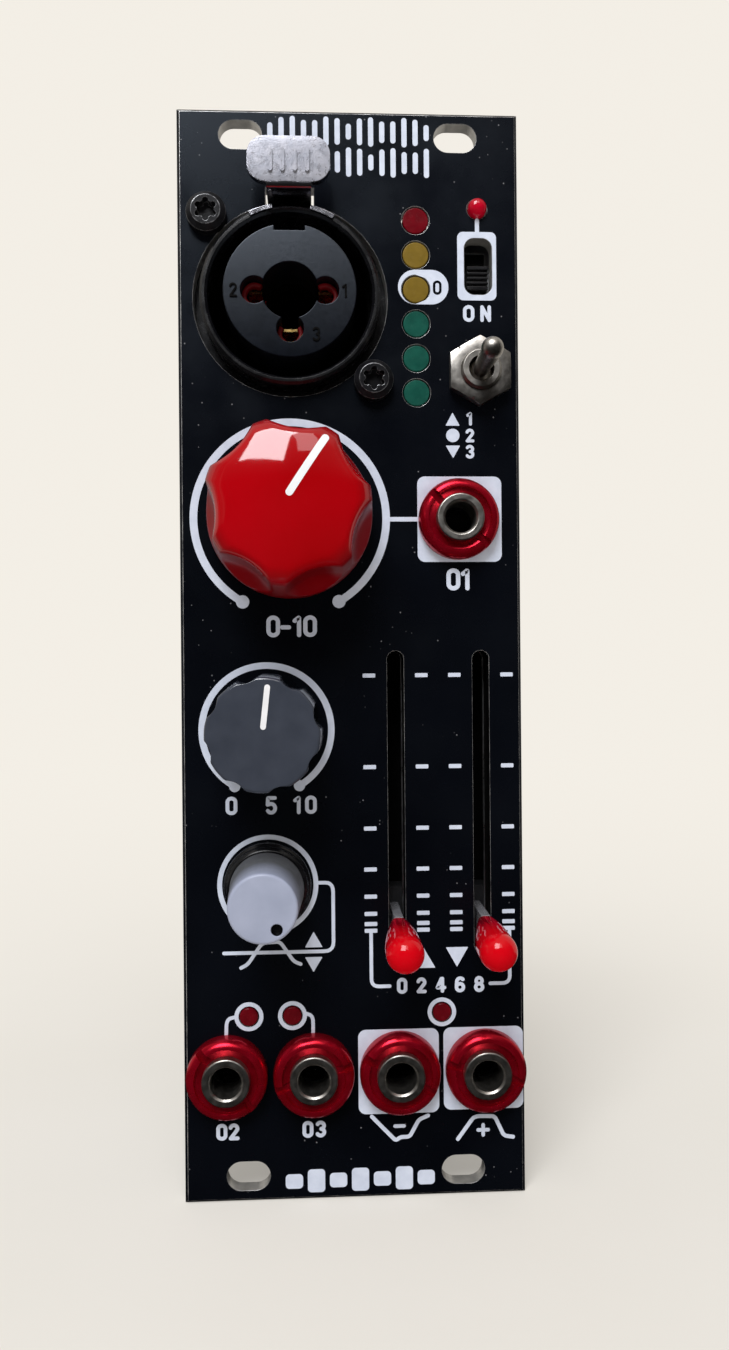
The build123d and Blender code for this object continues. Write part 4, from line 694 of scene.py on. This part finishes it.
cap_head, cap_foot, cap_length = 2.1, 2.2, 8.0
for side in ("rise", "fall"):
    shell = pear(middle(side + "_cap")[0], middle(side + "_lever")[1], cap_foot, cap_length, cap_head)
    cap = surface(side + "_cap_shell", [shell], side + "_fader", "cap_red", cap_red, 60)
    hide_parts(side + "_cap")
print("caps reach", cap_foot + cap_length + cap_head, "mm")

# %% [markdown]
# The toggle's bat is turned in one piece: a ball that swivels in the bushing, a neck, a swelling bat
# and a round end. A few shallow grooves round it are the tool marks that real bats keep.

# %% Toggle bat
toggle_x, toggle_z = middle("toggle_bushing")
pivot_height, ball, neck, bat, bat_end, tail = 0.2, 1.55, 0.84, 1.24, 10.6, -5.4
share = np.linspace(0, 1, 60)
neck_radius = neck + (bat - neck) * share + 0.014 * np.sin(share * 2 * pi * 14)
neck_height = ball + (bat_end - bat - ball) * share
bat_profile = joined(
    [(0, tail), (0.4, tail), (0.5, tail + 0.1), (0.5, pivot_height - 1.46)],
    arc(0, pivot_height, ball, -70, 57, steps=16), np.stack([neck_radius, neck_height], -1),
    arc(0, bat_end - bat, bat, 4, 90, steps=12))
toggle_bat = surface("toggle_bat", [turned(bat_profile, toggle_x, toggle_z, 64)], "input_toggle", "nickel",
                     nickel, 40)
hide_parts("toggle_lever")
print("toggle bat stands", bat_end, "mm before the panel")

# %% [markdown]
# The print on the panel is white ink about as thick as a hair. It could be painted in the material,
# but real ink has an edge, so each line is a thin slab: a path with a half width, drawn out to round
# ends where the half width follows a circle. Rings, frames and solid shapes are slabs between two
# outlines of the same turn angle.

# %% Helpers for print
ink, sunk, line_width = 0.03, 0.004, 0.42


def raised(path, height):
    """A path of x and z at a height before the panel."""
    return grid_of(path[:, 0], front - height, path[:, 1])


def slab(inner, outer, low=-sunk, high=ink):
    """Closed shell between two outlines of x and z, from one height before the panel to another."""
    rings = ((inner, low), (outer, low), (outer, high), (inner, high))
    return np.stack([raised(ring, height) for ring, height in rings]), True, True


def flanks(path, step, half):
    """Right and left side of a path: its points, moved by a half width across its steps."""
    step = step / np.linalg.norm(step, axis=1)[:, None]
    across = np.stack([-step[:, 1], step[:, 0]], -1) * half
    return path - across, path + across


def stroke(path, width=line_width, low=-sunk, high=ink):
    """Slab along a path of x and z: the half width is that of the line, less near both ends, where it
    follows a circle of the line's half width. A path that meets its own start has an even width."""
    path = np.array(path, float)
    if len(path) > 4 and np.allclose(path[0], path[-1]):
        path = path[:-1]
        return slab(*flanks(path, np.roll(path, -1, 0) - np.roll(path, 1, 0), width / 2), low, high)
    leg = np.linalg.norm(np.diff(path, axis=0), axis=1)
    along = joined([0], np.cumsum(leg))
    cap = width / 2 * np.sin(np.linspace(0, pi / 2, 7))
    inner = along[(along > 1e-4) & (along < along[-1] - 1e-4)]
    stops = joined(-cap[::-1], inner, along[-1] + cap)
    centre = np.stack([np.interp(stops, along, path[:, 0]), np.interp(stops, along, path[:, 1])], -1)
    first, last = (path[1] - path[0]) / leg[0], (path[-1] - path[-2]) / leg[-1]
    centre += np.minimum(stops, 0)[:, None] * first + np.maximum(stops - along[-1], 0)[:, None] * last
    beyond = np.maximum(np.maximum(-stops, stops - along[-1]), 0)
    half = np.sqrt(np.maximum((width / 2) ** 2 - beyond**2, 1e-8))
    step = np.gradient(centre, axis=0)
    step[:7], step[-7:] = first, last
    right, left = flanks(centre, step, half[:, None])
    rails = ((left, low), (left, high), (right, high), (right, low))
    return np.stack([raised(side, height) for side, height in rails]), True, False


def softened(corners, radius, steps=6):
    """Path through corners, each one rounded by a curve that starts this far before it."""
    corners = np.array(corners, float)
    share = np.linspace(0, 1, steps)[:, None]
    pieces = [corners[:1]]
    for before, corner, after in zip(corners, corners[1:], corners[2:]):
        towards, away = before - corner, after - corner
        first = corner + towards * min(radius / np.linalg.norm(towards), 0.48)
        last = corner + away * min(radius / np.linalg.norm(away), 0.48)
        pieces.append((1 - share) ** 2 * first + 2 * share * (1 - share) * corner + share**2 * last)
    return joined(*pieces, corners[-1:])


def filled(outline, x, z):
    """Solid shape, as a slab between its outline and a point inside it."""
    return slab(np.repeat([[x, z]], len(outline), 0), outline)


def holed(outline, x, z, radius):
    """Solid shape with a round hole, which has a point on each ray to the outline's points."""
    ray = outline - (x, z)
    return slab((x, z) + ray / np.linalg.norm(ray, axis=1)[:, None] * radius, outline)


def circle(x, z, radius, count):
    """Outline of a circle with this many points."""
    return arc(x, z, radius, 0, 360, steps=count + 1)[:-1]


def dot(x, z, radius):
    """Filled circle."""
    return filled(circle(x, z, radius, 40), x, z)


def triangle(corners):
    """Filled shape between straight sides, with eased corners."""
    corners = np.array(corners, float)
    start = (corners[-1] + corners[0]) / 2
    return filled(softened([start, *corners, start], 0.12)[:-1], *corners.mean(0))


def frame_outline(x, z, width, height, corner, steps=12):
    """Rounded rectangle about a point, counted from +X towards up."""
    quarter = arc(width / 2 - corner, height / 2 - corner, corner, 0, 90, steps=steps)
    turns = (quarter, (quarter * (-1, 1))[::-1], quarter * (-1, -1), (quarter * (1, -1))[::-1])
    return joined(*turns) + (x, z)


print("ink is", ink, "mm thick")

# %% [markdown]
# Dial rings leave a gap at the bottom and end in dots. Each is a stroke along an arc, and a dot is a
# slab round a point. The lines that lead to sockets and lamps are strokes with eased corners.

# %% Dial rings, lead lines and frames
def dial(x, z, radius, width, dots, start=-60, stop=240):
    """Open ring from one angle to another, with a dot at each end."""
    ends = arc(x, z, radius, start, stop, steps=2)
    return [stroke(arc(x, z, radius, start, stop, steps=150), width), *[dot(*end, dots) for end in ends]]


polarity_x, polarity_z = middle("polarity_shaft")
line_z, line_turn_x, line_top = -35.0, -2.51, -26.9
prints = dial(gain_x, gain_z, 11.33, 0.9, 0.78) + dial(envelope_x, envelope_z, 7.6, 0.77, 0.66)
prints += [
    holed(circle(polarity_x, polarity_z, 5.93, 120), polarity_x, polarity_z, 5.36),
    stroke(softened([(-15.38, line_z), (line_turn_x, line_z), (line_turn_x, line_top), (-4.4, line_top)],
                    1.1)),
    stroke(softened([(-13.4, -36.75), (-12.6, -36.35), (-10.92, -33.87), (-8.81, -33.75),
                     (-7.19, -36.14), (-6.4, -36.45)], 0.5)),
    stroke([(gain_x + 11.5, 15.99), (8.1, 15.99)], 0.53),
]
jack_z, jack_hole, frame_corner = -49.35, 3.2, 0.9
for left, right, low, high, x, z in ((7.86, 17.91, 10.92, 21.06, 12.7, 15.95),
                                     (0.30, 9.88, -54.39, -44.41, 5.217, jack_z),
                                     (10.43, 19.95, -54.15, -44.38, 15.377, jack_z)):
    outline = frame_outline((left + right) / 2, (low + high) / 2, right - left, high - low, frame_corner)
    prints.append(holed(outline, x, z, jack_hole))
lamp_z, lamp_hole, lamp_ring = -42.5, 1.22, 1.7
prints += [holed(circle(x, lamp_z, lamp_ring, 48), x, lamp_z, lamp_hole) for x in (-12.53, -7.42, 10.28)]
prints.append(stroke(softened([(-14.1, -42.5), (-15.15, -42.75), (-15.21, -45.2)], 0.9)))
prints.append(stroke(softened([(-5.8, -42.3), (-5.0, -42.6), (-5.0, -45.2)], 0.8)))
print("print has", len(prints), "shapes so far")

# %% [markdown]
# Beside each fader slot stand ticks that crowd towards the bottom, as on a logarithmic scale. Two
# brackets gather them at the foot. The slide switch and one level lamp have rounded white frames.

# %% Fader scales, brackets and switch frames
tick_rows = (-2.5, -13.33, -20.6, -25.45, -28.66, -30.7, -31.9, -32.7)
tick_length, tick_width = 1.5, 0.48
prints += [filled(frame_outline(x, z, tick_length, tick_width, 0.1, 4), x, z)
           for x in (1.94, 8.16, 12.10, 18.35) for z in tick_rows]
prints.append(stroke(softened([(1.94, -32.8), (1.94, -39.3), (4.1, -39.3)], 0.9)))
prints.append(stroke(softened([(18.45, -32.8), (18.45, -39.25), (16.1, -39.25)], 0.9)))
prints += [triangle(corners) for corners in (
    [(6.7, -37.24), (8.13, -34.79), (9.56, -37.24)], [(10.81, -34.85), (12.13, -37.18), (13.49, -34.85)],
    [(-5.88, -34.5), (-4.85, -32.66), (-3.80, -34.5)], [(-5.89, -35.65), (-4.89, -37.42), (-3.81, -35.65)],
    [(11.3, 27.1), (12.15, 28.66), (13.0, 27.1)], [(11.3, 24.74), (12.18, 23.24), (13.03, 24.74)])]
prints.append(dot(12.16, 25.94, 0.8))
switch_frame = frame_outline(15.2, 46.08, 4.66, 8.14, 0.7)
switch_window = frame_outline(15.35, 46.05, 3.4, 6.8, 1.25)
prints.append(slab(switch_window, switch_frame))
prints.append(stroke([(15.26, 51.5), (15.26, 50.1)], 0.5))
pill_width, pill_height, pill_hole = 6.0, 4.1, 1.76
pill = frame_outline(8.78, 43.53, pill_width, pill_height, pill_height / 2 - 0.01, 20)
prints.append(holed(pill, 7.88, 43.25, pill_hole))
print("print has", len(prints), "shapes so far")

# %% [markdown]
# Plain numbers in a narrow rounded hand stand beside the controls and the sockets. A digit is a list
# of strokes in shares of its height, so it needs no font file, and a line of digits is spread evenly
# between its two sides.

# %% Numbers
hand = {
    "0": [joined(arc(0, 0.73, 0.2, 0, 180, 0.22, 16), arc(0, 0.27, 0.2, 180, 360, 0.22, 16), [(0.2, 0.73)])],
    "1": [softened([(-0.13, 0.78), (0.05, 0.95), (0.05, 0.05)], 0.03)],
    "2": [joined(arc(0, 0.72, 0.19, 165, -25, 0.23, 18), [(-0.18, 0.05)]), [(-0.18, 0.05), (0.2, 0.05)]],
    "3": [arc(-0.01, 0.73, 0.19, 150, -80, 0.22, 18), arc(-0.01, 0.28, 0.2, 80, -150, 0.23, 18)],
    "4": [[(0.1, 0.05), (0.1, 0.95)], softened([(0.04, 0.95), (-0.2, 0.3), (0.22, 0.3)], 0.03)],
    "5": [softened([(0.18, 0.95), (-0.16, 0.95), (-0.18, 0.56)], 0.03),
          joined([(-0.18, 0.54)], arc(-0.01, 0.32, 0.2, 110, -145, 0.27, 20))],
    "6": [arc(0, 0.3, 0.2, 0, 360, 0.25, 30), joined([(-0.2, 0.3)], arc(0.02, 0.7, 0.2, 180, 40, 0.25, 14))],
    "8": [arc(0, 0.73, 0.17, 0, 360, 0.22, 26), arc(0, 0.28, 0.2, 0, 360, 0.24, 26)],
    "-": [[(-0.14, 0.45), (0.14, 0.45)]],
    "O": [joined(arc(0, 0.7, 0.22, 0, 180, 0.25, 16), arc(0, 0.3, 0.22, 180, 360, 0.25, 16), [(0.22, 0.7)])],
    "N": [[(-0.2, 0.05), (-0.2, 0.95)], [(-0.2, 0.95), (0.2, 0.05)], [(0.2, 0.05), (0.2, 0.95)]],
    " ": [],
}


def written(signs, left, right, foot, height, weight, low=-sunk, high=ink):
    """Signs spread evenly from left to right on a line, with strokes of this weight."""
    half = 0.22 * height + weight / 2
    places = np.linspace(left + half, right - half, len(signs)) if len(signs) > 1 else [(left + right) / 2]
    return [stroke(np.array(path) * (height, height - weight) + (x, foot + weight / 2), weight, low, high)
            for sign, x in zip(signs, places) for path in hand[sign]]


for line in (("0-10", -10.16, -4.09, 1.98, 2.8, 0.5), ("0  5 10", -15.1, -4.3, -18.86, 2.36, 0.44),
             ("01", 11.2, 14.5, 7.41, 2.86, 0.52), ("02", -16.5, -13.7, -57.06, 2.15, 0.44),
             ("03", -6.4, -3.5, -57.04, 2.15, 0.44), ("ON", 13.5, 16.9, 39.37, 2.16, 0.42),
             ("1", 13.6, 14.8, 27.05, 1.78, 0.36), ("2", 13.6, 14.8, 25.05, 1.78, 0.36),
             ("3", 13.6, 14.8, 23.12, 1.78, 0.36), ("02468", 4.91, 15.42, -40.32, 2.05, 0.42)):
    prints += written(*line)
print("print has", len(prints), "shapes so far")

# %% [markdown]
# The envelope and gate sockets have generic outlines, a minus and a plus. Two rows of bars whose
# height follows a wave stand at the panel's head, and a row of blocks stands at its foot.

# %% Outlines, bars and blocks
envelope_shape = [(1.85, -54.69), (4.68, -57.63), (5.2, -57.2), (6.32, -57.21), (7.43, -55.2),
                  (8.53, -54.76)]
gate_shape = [(12.07, -57.66), (13.9, -55.2), (14.43, -55.0), (16.49, -55.07), (17.58, -57.42),
              (18.68, -57.6)]
prints += [stroke(softened(envelope_shape, 0.4), 0.46), stroke([(4.6, -55.9), (5.66, -55.9)]),
           stroke(softened(gate_shape, 0.4), 0.46), stroke([(14.5, -56.66), (15.7, -56.66)]),
           stroke([(15.1, -57.26), (15.1, -56.06)])]
bar_count, bar_pitch, bar_width, full = 15, 1.32, 0.62, 2.9
for row, foot in enumerate((60.35, 56.75)):
    for i in range(bar_count):
        x = -9.2 + bar_pitch * i
        tall = full * (0.42 + 0.58 * abs(sin(0.9 * i + 1.3 * row)))
        prints.append(stroke([(x, foot + (full - tall) / 2), (x, foot + (full + tall) / 2)], bar_width))
block_count, block_pitch, block_z = 7, 2.6, -62.05
for i in range(block_count):
    x = -7.35 + block_pitch * i
    prints.append(filled(frame_outline(x, block_z, 2.05, 2.7 if i % 2 else 1.7, 0.45, 6), x, block_z))
layer_count, layer_rise = 7, 0.0016


def layered(shells):
    """The shells with each one a hair higher than the last, so that crossing lines never share a face."""
    return [remade(shell, lambda x, y, z: y - layer_rise * (i % layer_count))
            for i, shell in enumerate(shells)]


panel_print = surface("panel_print", layered(prints), "module", "pointer_white", white_ink, 30)
pill_zero = written("0", 9.7, 11.2, 42.55, 1.85, 0.3, ink, ink + 0.02)
surface("lamp_frame_zero", pill_zero, "module", "panel_black", black_enamel, 30)
print("print has", len(prints), "shapes and", len(panel_print.data.polygons), "faces")

# %% [markdown]
# The insert's three contact holes are numbered, as on every such socket, in strokes raised from the
# same black moulding. They get a darker finish with none of its sheen, so they show as dark figures:
# painted shade for the shadows along their raised edges.

# %% Contact numbers
insert_height = heights("combo_insert")[1]
number_height, number_weight, number_root, number_rise = 1.75, 0.22, 0.02, 0.14
numbers = []
for sign, x, foot in (("2", -6.5, -0.85), ("1", 6.35, -0.85), ("3", 3.0, -5.85)):
    numbers += written(sign, combo_x + x, combo_x + x, combo_z + foot, number_height, number_weight,
                       insert_height - number_root, insert_height + number_rise)
# Painted shade: the figures get the dull near-black finish.
surface("contact_numbers", layered(numbers), "module", "socket_black", track_dark_and_painted_shade, 30)
print("contact numbers made")

# %% [markdown]
# Red shows inside the three contact holes, where sleeves of the carrier reach into the black insert.
# Their red is far darker than the carrier's, as painted shade. A sleeve is a short tube, open towards
# the large bore so that a plug can pass: its section is turned about the hole through most of a
# circle, and each end closes on the section's middle.

# %% Contact sleeves
def sleeve(x, z, section, half_turn=125):
    """A section of radius and height, turned to both sides of the way from the socket's axis."""
    radius, height = np.array(section, float).T[:, :, None]
    turn = np.arctan2(z - combo_z, x - combo_x) + np.radians(np.linspace(-half_turn, half_turn, 60))
    grid = spun(x, z, radius, turn, front - height)
    start, end = [0 * grid[:, :1] + grid[:, i].mean(0) for i in (0, -1)]
    return np.concatenate([start, grid, end], 1), True, False


sleeve_in, sleeve_out, ease = 0.64 * hole_radius, hole_radius - 0.03, 0.1
sleeve_depth, sleeve_length = 1.5, 0.9
sleeve_top, sleeve_foot = insert_height - sleeve_depth, insert_height - sleeve_depth - sleeve_length
section = [(sleeve_in, sleeve_foot), (sleeve_in, sleeve_top - ease), (sleeve_in + ease, sleeve_top),
           (sleeve_out - ease, sleeve_top), (sleeve_out, sleeve_top - ease), (sleeve_out, sleeve_foot)]
sleeves = [sleeve(x, z, section) for x, z in holes]
surface("contact_sleeves", sleeves, "module", "carrier_red", sleeve_red_painted_shade, 50)
print("contact hole radius", round(hole_radius, 2))

# %% [markdown]
# A knob's pointer is white paint in a shallow groove. Here it is one of the print's strokes, and then
# each of its points is lifted to the knob's own height at that distance from the axis, which is read
# off the knob's profile. The pale knob has a small dark dimple instead, a cup turned on its own axis.

# %% Pointers
crown_points, groove = 24, 0.3


def pointer(name, node, body, x, z, turn, start, stop, width, profile):
    """Stroke away from a knob's axis, each point raised to the profile's height at its distance."""
    reach = np.linspace(start + width / 2, stop - width / 2, crown_points)
    path = np.stack([x + reach * sin(radians(turn)), z + reach * cos(radians(turn))], -1)
    radius, height = profile[-crown_points:][::-1].T
    shell = remade(stroke(path, width, -groove, inlay_rise),
                   lambda across, y, up: y - np.interp(np.hypot(across - x, up - z), radius, height))
    made = surface(name, [shell], body, "pointer_white", pointer_white, 40)
    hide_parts(node)


pointer("gain_pointer_inlay", "gain_pointer", "gain_rotor", gain_x, gain_z, gain_turn, 0.1, 7.9, 0.8,
        gain_profile)
pointer("envelope_pointer_inlay", "envelope_pointer", "envelope_rotor", envelope_x, envelope_z,
        envelope_turn, 0.6, 5.5, 0.62, envelope_profile)
polarity_high = heights("polarity_knob")[1]
dimple_turn, dimple_reach, dimple_radius = radians(146.3), 2.67, 0.6
dimple = [(0, polarity_high - 0.52), (0.42, polarity_high - 0.46), (dimple_radius, polarity_high - 0.06),
          (dimple_radius, polarity_high - 0.58), (0, polarity_high - 0.58)]
dimple_shell = turned(dimple, polarity_x + dimple_reach * sin(dimple_turn),
                      polarity_z + dimple_reach * cos(dimple_turn), 40)
surface("polarity_dimple", [dimple_shell], "polarity_rotor", "knob_grey", smooth_black, 50)
print("pointers laid")

# %% [markdown]
# The push tab is pressed from bright sheet: its face swells a little and rolls over at the rim. The
# dressed copy has the flat sheet, and this pillow lies on it: on a grid of turn and way out, its
# height falls from the middle with the fourth power of the way and leans a little forward at the top,
# and its rim is a rounded oblong, closed behind. It carries four plain ridges for the thumb.

# %% Push tab face
tab_height = heights("latch_lever")[1]
tab_z, tab_width, tab_length, tab_corner, lean = 56.25, 9.38, 4.98, 1.94, 0.055
lean_foot, ridge_width, ridge_height = tab_z - 2.55, 0.5, 0.34
rim_outline = frame_outline(combo_x, tab_z, tab_width, tab_length, tab_corner, 16)
out = np.append(np.linspace(0, 1, 18), [1, 0])
tab_middle = np.array([combo_x, tab_z])
pillow = tab_middle + (rim_outline - tab_middle)[None] * out[:, None, None]
swell = 0.04 + 0.05 * (1 - out**4)
stands = tab_height + swell[:, None] + lean * (pillow[..., 1] - lean_foot)
stands[-2:] = tab_height - 0.1
tab_shells = [(grid_of(pillow[..., 0], front - stands, pillow[..., 1]), False, True)]
for x in (-2.1, -0.7, 0.7, 2.1):
    ridge = stroke([(combo_x + x, tab_z - 1.25), (combo_x + x, tab_z + 0.95)], ridge_width, tab_height,
                   tab_height + ridge_height)
    tab_shells.append(remade(ridge, lambda x, y, z: y - lean * (z - lean_foot)))
surface("push_tab_face", tab_shells, "latch", "bright_chrome", tab_chrome, 40)
print("tab face stands", round(stands.max(), 2), "mm before the panel")

# %% [markdown]
# The boards are black glass fibre with copper lines under the lacquer. The lines show as faint raised
# bands, here from two sets of waves that run along and across and are cut up by a noise. Rows of
# soldered pins stand out as small bright cones of solder, a bell curve turned round each pin.

# %% Boards
def board_finish():
    """Near black lacquer with bands from two waves, the one or the other in patches."""
    material, tree = node_tree("board_black")
    patches = tree.nodes.new("ShaderNodeMix")
    tree.links.new(spread(tree, noise(tree, 9.0, 0.0), 0, 1, 0.48, 0.52), patches.inputs["Factor"])
    for axis, socket in (("X", "A"), ("Z", "B")):
        wave = tree.nodes.new("ShaderNodeTexWave")
        wave.bands_direction = axis
        wave.inputs["Scale"].default_value = 1 / (5.2 * mm)
        wave.inputs["Distortion"].default_value = 0.0
        tree.links.new(coordinates(tree), wave.inputs["Vector"])
        tree.links.new(spread(tree, wave.outputs["Fac"], 0, 1, 0.62, 0.72), patches.inputs[socket])
    lines = patches.outputs["Result"]
    wired(tree, Base_Color=blended(tree, lines, (0.0045, 0.0055, 0.006), (0.011, 0.0135, 0.013)),
          Roughness=spread(tree, noise(tree, 4.0), 0.24, 0.4), Normal=relief(tree, lines, 0.02),
          Specular_IOR_Level=0.4)
    return material


board_black = board_finish()
fibre_edge = finish("fibre_edge", (0.05, 0.045, 0.03), (0.1, 0.09, 0.06), 0.9, (0.5, 0.7), 0.2, 0.01)
for board in ("main_board", "control_board"):
    dressed(board, "module", "board_black", board_black, 0.06, fibre_edge, fibre_edge)
main_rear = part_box("main_board")[1].y / mm


def solder(x, z, radius=0.78, tall=0.7):
    """Cone of solder round a pin: its height behind the board is a bell curve of the way out. The last
    row runs back to the pin along the board and closes the cone."""
    way = np.append(np.linspace(0, 1, 9), 0)[:, None]
    height = tall * (np.exp(-4 * way**2) - np.exp(-4))
    height[-1] = 0
    return spun(x, z, radius * way, full_turn(18), main_rear + height), False, True


link_left, link_right, link_foot, link_head = sides("link_sockets")
link_half = 1.25
solder_cones = [solder(x, z) for x in (link_left + link_half, link_right - link_half)
                for z in np.linspace(link_foot + link_half, link_head - link_half, 10)]
surface("solder_joints", solder_cones, "module", "spring_metal", chrome, 60)
print("solder joints", len(solder_cones))

# %% [markdown]
# White lines printed on the rear board frame its parts, as an assembler would want. They are the same
# strokes as on the panel, turned over on to the board's rear face.

# %% Printed frames on the rear board
def frame_lines(left, right, foot, head, margin):
    """Four strokes round a place on the board, turned over so that their height counts backwards."""
    left, right, foot, head = left - margin, right + margin, foot - margin, head + margin
    corners = [(left, foot), (right, foot), (right, head), (left, head), (left, foot)]
    return [remade(stroke(corners[i:i + 2], 0.16), lambda x, y, z: main_rear + (front - y))
            for i in range(4)]


screened = frame_lines(*sides("power_shroud"), 0.7)
for left in (link_left, link_right - 2 * link_half):
    screened += frame_lines(left, left + 2 * link_half, link_foot, link_head, 0.25)
surface("board_print", screened, "module", "pointer_white", white_ink, 30)
print("printed frames", len(screened))

# %% [markdown]
# The stage is plain: a pale floor under the standing panel and a pale world. Away from the panel the
# floor fades into the world's cream, so that no horizon cuts across the picture, and near it the shadow
# stays. The fade goes by one over the distance, and only what the camera sees takes part in it.

# %% Floor
cream = (0.9, 0.86, 0.79)


def distance(tree):
    """Distance from the origin, in metres."""
    length = tree.nodes.new("ShaderNodeVectorMath")
    length.operation = "LENGTH"
    tree.links.new(coordinates(tree), length.inputs[0])
    return length.outputs["Value"]


def crossfaded(tree, share, second):
    """Surface that goes from the shader to a second one as the share goes from 0 to 1."""
    mix = tree.nodes.new("ShaderNodeMixShader")
    first = tree.nodes["Principled BSDF"].outputs["BSDF"]
    for socket, value in zip(mix.inputs, (share, first, second)):
        tree.links.new(value, socket)
    tree.links.new(mix.outputs["Shader"], tree.nodes["Material Output"].inputs["Surface"])


def sheet(name, corners, material):
    """Object of flat quads, each four corners in millimetres."""
    mesh = bpy.data.meshes.new(name)
    places = np.array(corners, float) * mm
    mesh.from_pydata(places.tolist(), [], np.arange(len(places)).reshape(-1, 4).tolist())
    mesh.materials.append(material)
    return linked(name, mesh)


pale_floor = finish("pale_floor", (0.8, 0.77, 0.71), (0.84, 0.81, 0.76), 60.0, (0.7, 0.85), 2.0, 0.02,
                    specular=0.2)
floor_half, floor_z = 900.0, cad_low.z / mm - 0.02
tree = pale_floor.node_tree
far_nearness, near_nearness, near_share = 1.6, 15.0, 0.35
nearness = combined(tree, "DIVIDE", 1.0, distance(tree))
away = spread(tree, nearness, 1, near_share, far_nearness, near_nearness)
away.node.interpolation_type = "SMOOTHSTEP"
rays = tree.nodes.new("ShaderNodeLightPath")
paper = tree.nodes.new("ShaderNodeEmission")
feed(tree, paper.inputs["Color"], cream)
crossfaded(tree, combined(tree, "MULTIPLY", away, rays.outputs["Is Camera Ray"]),
           paper.outputs["Emission"])
around = ((-1, -1), (1, -1), (1, 1), (-1, 1))
floor = sheet("floor", [(x * floor_half, y * floor_half, floor_z) for x, y in around], pale_floor)
floor.visible_glossy = False
floor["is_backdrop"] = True
print("floor at", round(floor_z, 2), "mm")

# %% [markdown]
# The camera sees the world as a cream white. Metal mirrors the same cream, less bright, and soft light
# is lower still, so that black enamel stays black while metal has a bright room to show.

# %% World
room_light, room_seen, room_mirrored = 0.36, 1.0, 0.6
world = bpy.data.worlds.new("pale_room")
bpy.context.scene.world = world
world.use_nodes = True
tree = world.node_tree
rays = tree.nodes.new("ShaderNodeLightPath")
seen, through, mirrored = [
    spread(tree, rays.outputs[ray], room_light, strength, 0, 1) for ray, strength in (
        ("Is Camera Ray", room_seen), ("Is Transmission Ray", room_seen), ("Is Glossy Ray", room_mirrored))]
strength = combined(tree, "MAXIMUM", combined(tree, "MAXIMUM", seen, through), mirrored)
feed(tree, tree.nodes["Background"].inputs["Color"], cream)
feed(tree, tree.nodes["Background"].inputs["Strength"], strength)
print("room light", room_light)

# %% [markdown]
# A dark card stands behind the camera, as in a product studio, and goes on as a dark ground and two
# dark sides, the left one thinner. Only mirror-like rays meet it, so it darkens what the glossy fronts
# reflect and leaves the soft light alone. It fades out towards the top and the rim, so no hard border
# shows on a knob.

# %% Dark card
card_material, tree = node_tree("dark_card")
wired(tree, Base_Color=(0.015, 0.015, 0.017), Roughness=0.9)
card_y, card_half, card_side, card_back, card_foot = -1000.0, 4600.0, 1100.0, 60.0, cad_low.z / mm - 2
clear_from, clear_to = 420.0, 2300.0
rising = graded(tree, "Z", 0, 1, clear_from * mm, clear_to * mm)
rim_fade = spread(tree, distance(tree), 0, 1, 0.7 * card_half * mm, card_half * mm)
thinner = graded(tree, "X", 0.35, 0, -card_side * mm, -0.8 * card_side * mm)
see_through = combined(tree, "MAXIMUM", combined(tree, "MAXIMUM", rising, rim_fade), thinner)
crossfaded(tree, see_through, tree.nodes.new("ShaderNodeBsdfTransparent").outputs["BSDF"])
card_corners = [(x * card_half, card_y, z * card_half) for x, z in around]
card_corners += [(-card_half, card_y, card_foot), (card_half, card_y, card_foot),
                 (card_half, card_back, card_foot), (-card_half, card_back, card_foot)]
for x in (card_side, -card_side):
    card_corners += [(x, card_y, card_foot), (x, card_back, card_foot), (x, card_back, card_half),
                     (x, card_y, card_half)]
card = sheet("camera_side_card", card_corners, card_material)
card.visible_camera = False
card.visible_diffuse = False
card.visible_shadow = False
card.visible_transmission = False
card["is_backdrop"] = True
print("card has", len(card.data.polygons), "faces")

# %% [markdown]
# Two soft boxes hang over the panel: the large one makes the bright pane on the red knob's shoulder,
# and the small one the faint second pane beside the pointer. The camera has the place, the turn and the
# lens that the panel's four corners in the photograph give.

# %% Soft boxes and camera
def aimed(holder, place, turn):
    """Put a lamp or a camera at a place in metres, turned by a quaternion."""
    holder.location = place
    holder.rotation_mode = "QUATERNION"
    holder.rotation_quaternion = turn


def soft_box(name, place, width, height, power, colour):
    """Area lamp of this size in metres, at a place and facing the panel's middle."""
    lamp = bpy.data.lights.new(name, "AREA")
    lamp.shape = "RECTANGLE"
    lamp.size, lamp.size_y, lamp.energy, lamp.color = width, height, power, colour
    aim = Vector((0, 0, 0.01)) - Vector(place)
    aimed(linked(name, lamp), place, aim.to_track_quat("-Z", "Y"))


soft_box("window_box", (-0.195, -0.57, 0.69), 0.42, 0.53, 7.8, (0.95, 0.97, 1.0))
soft_box("second_box", (0.125, -0.56, 0.7), 0.18, 0.4, 0.6, (1.0, 0.95, 0.95))

camera_place = (-4.511, -120.154, -2.387)
camera_axes = Matrix(((0.998707, 0.008439, -0.050134), (-0.050135, -0.000056, -0.998742),
                      (-0.008431, 0.999964, 0.000367)))
sensor, picture_height, focal_pixels = 36.0, 1350, 1000
camera_data = bpy.data.cameras.new("camera")
camera_data.sensor_width, camera_data.lens = sensor, sensor * focal_pixels / picture_height
camera_data.clip_start, camera_data.clip_end = 0.005, 20.0
camera = linked("camera", camera_data)
aimed(camera, [value * mm for value in camera_place], camera_axes.to_quaternion())
bpy.context.scene.camera = camera
bpy.context.scene.view_settings.view_transform = "Standard"
print("camera lens", round(camera_data.lens, 3))

# %% [markdown]
# Last, the finished look must lie inside the imported model's box. Both boxes are printed, so that
# they can be compared.

# %% Sizes and finish
low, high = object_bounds()
print("visual from", tuple(low), "to", tuple(high))
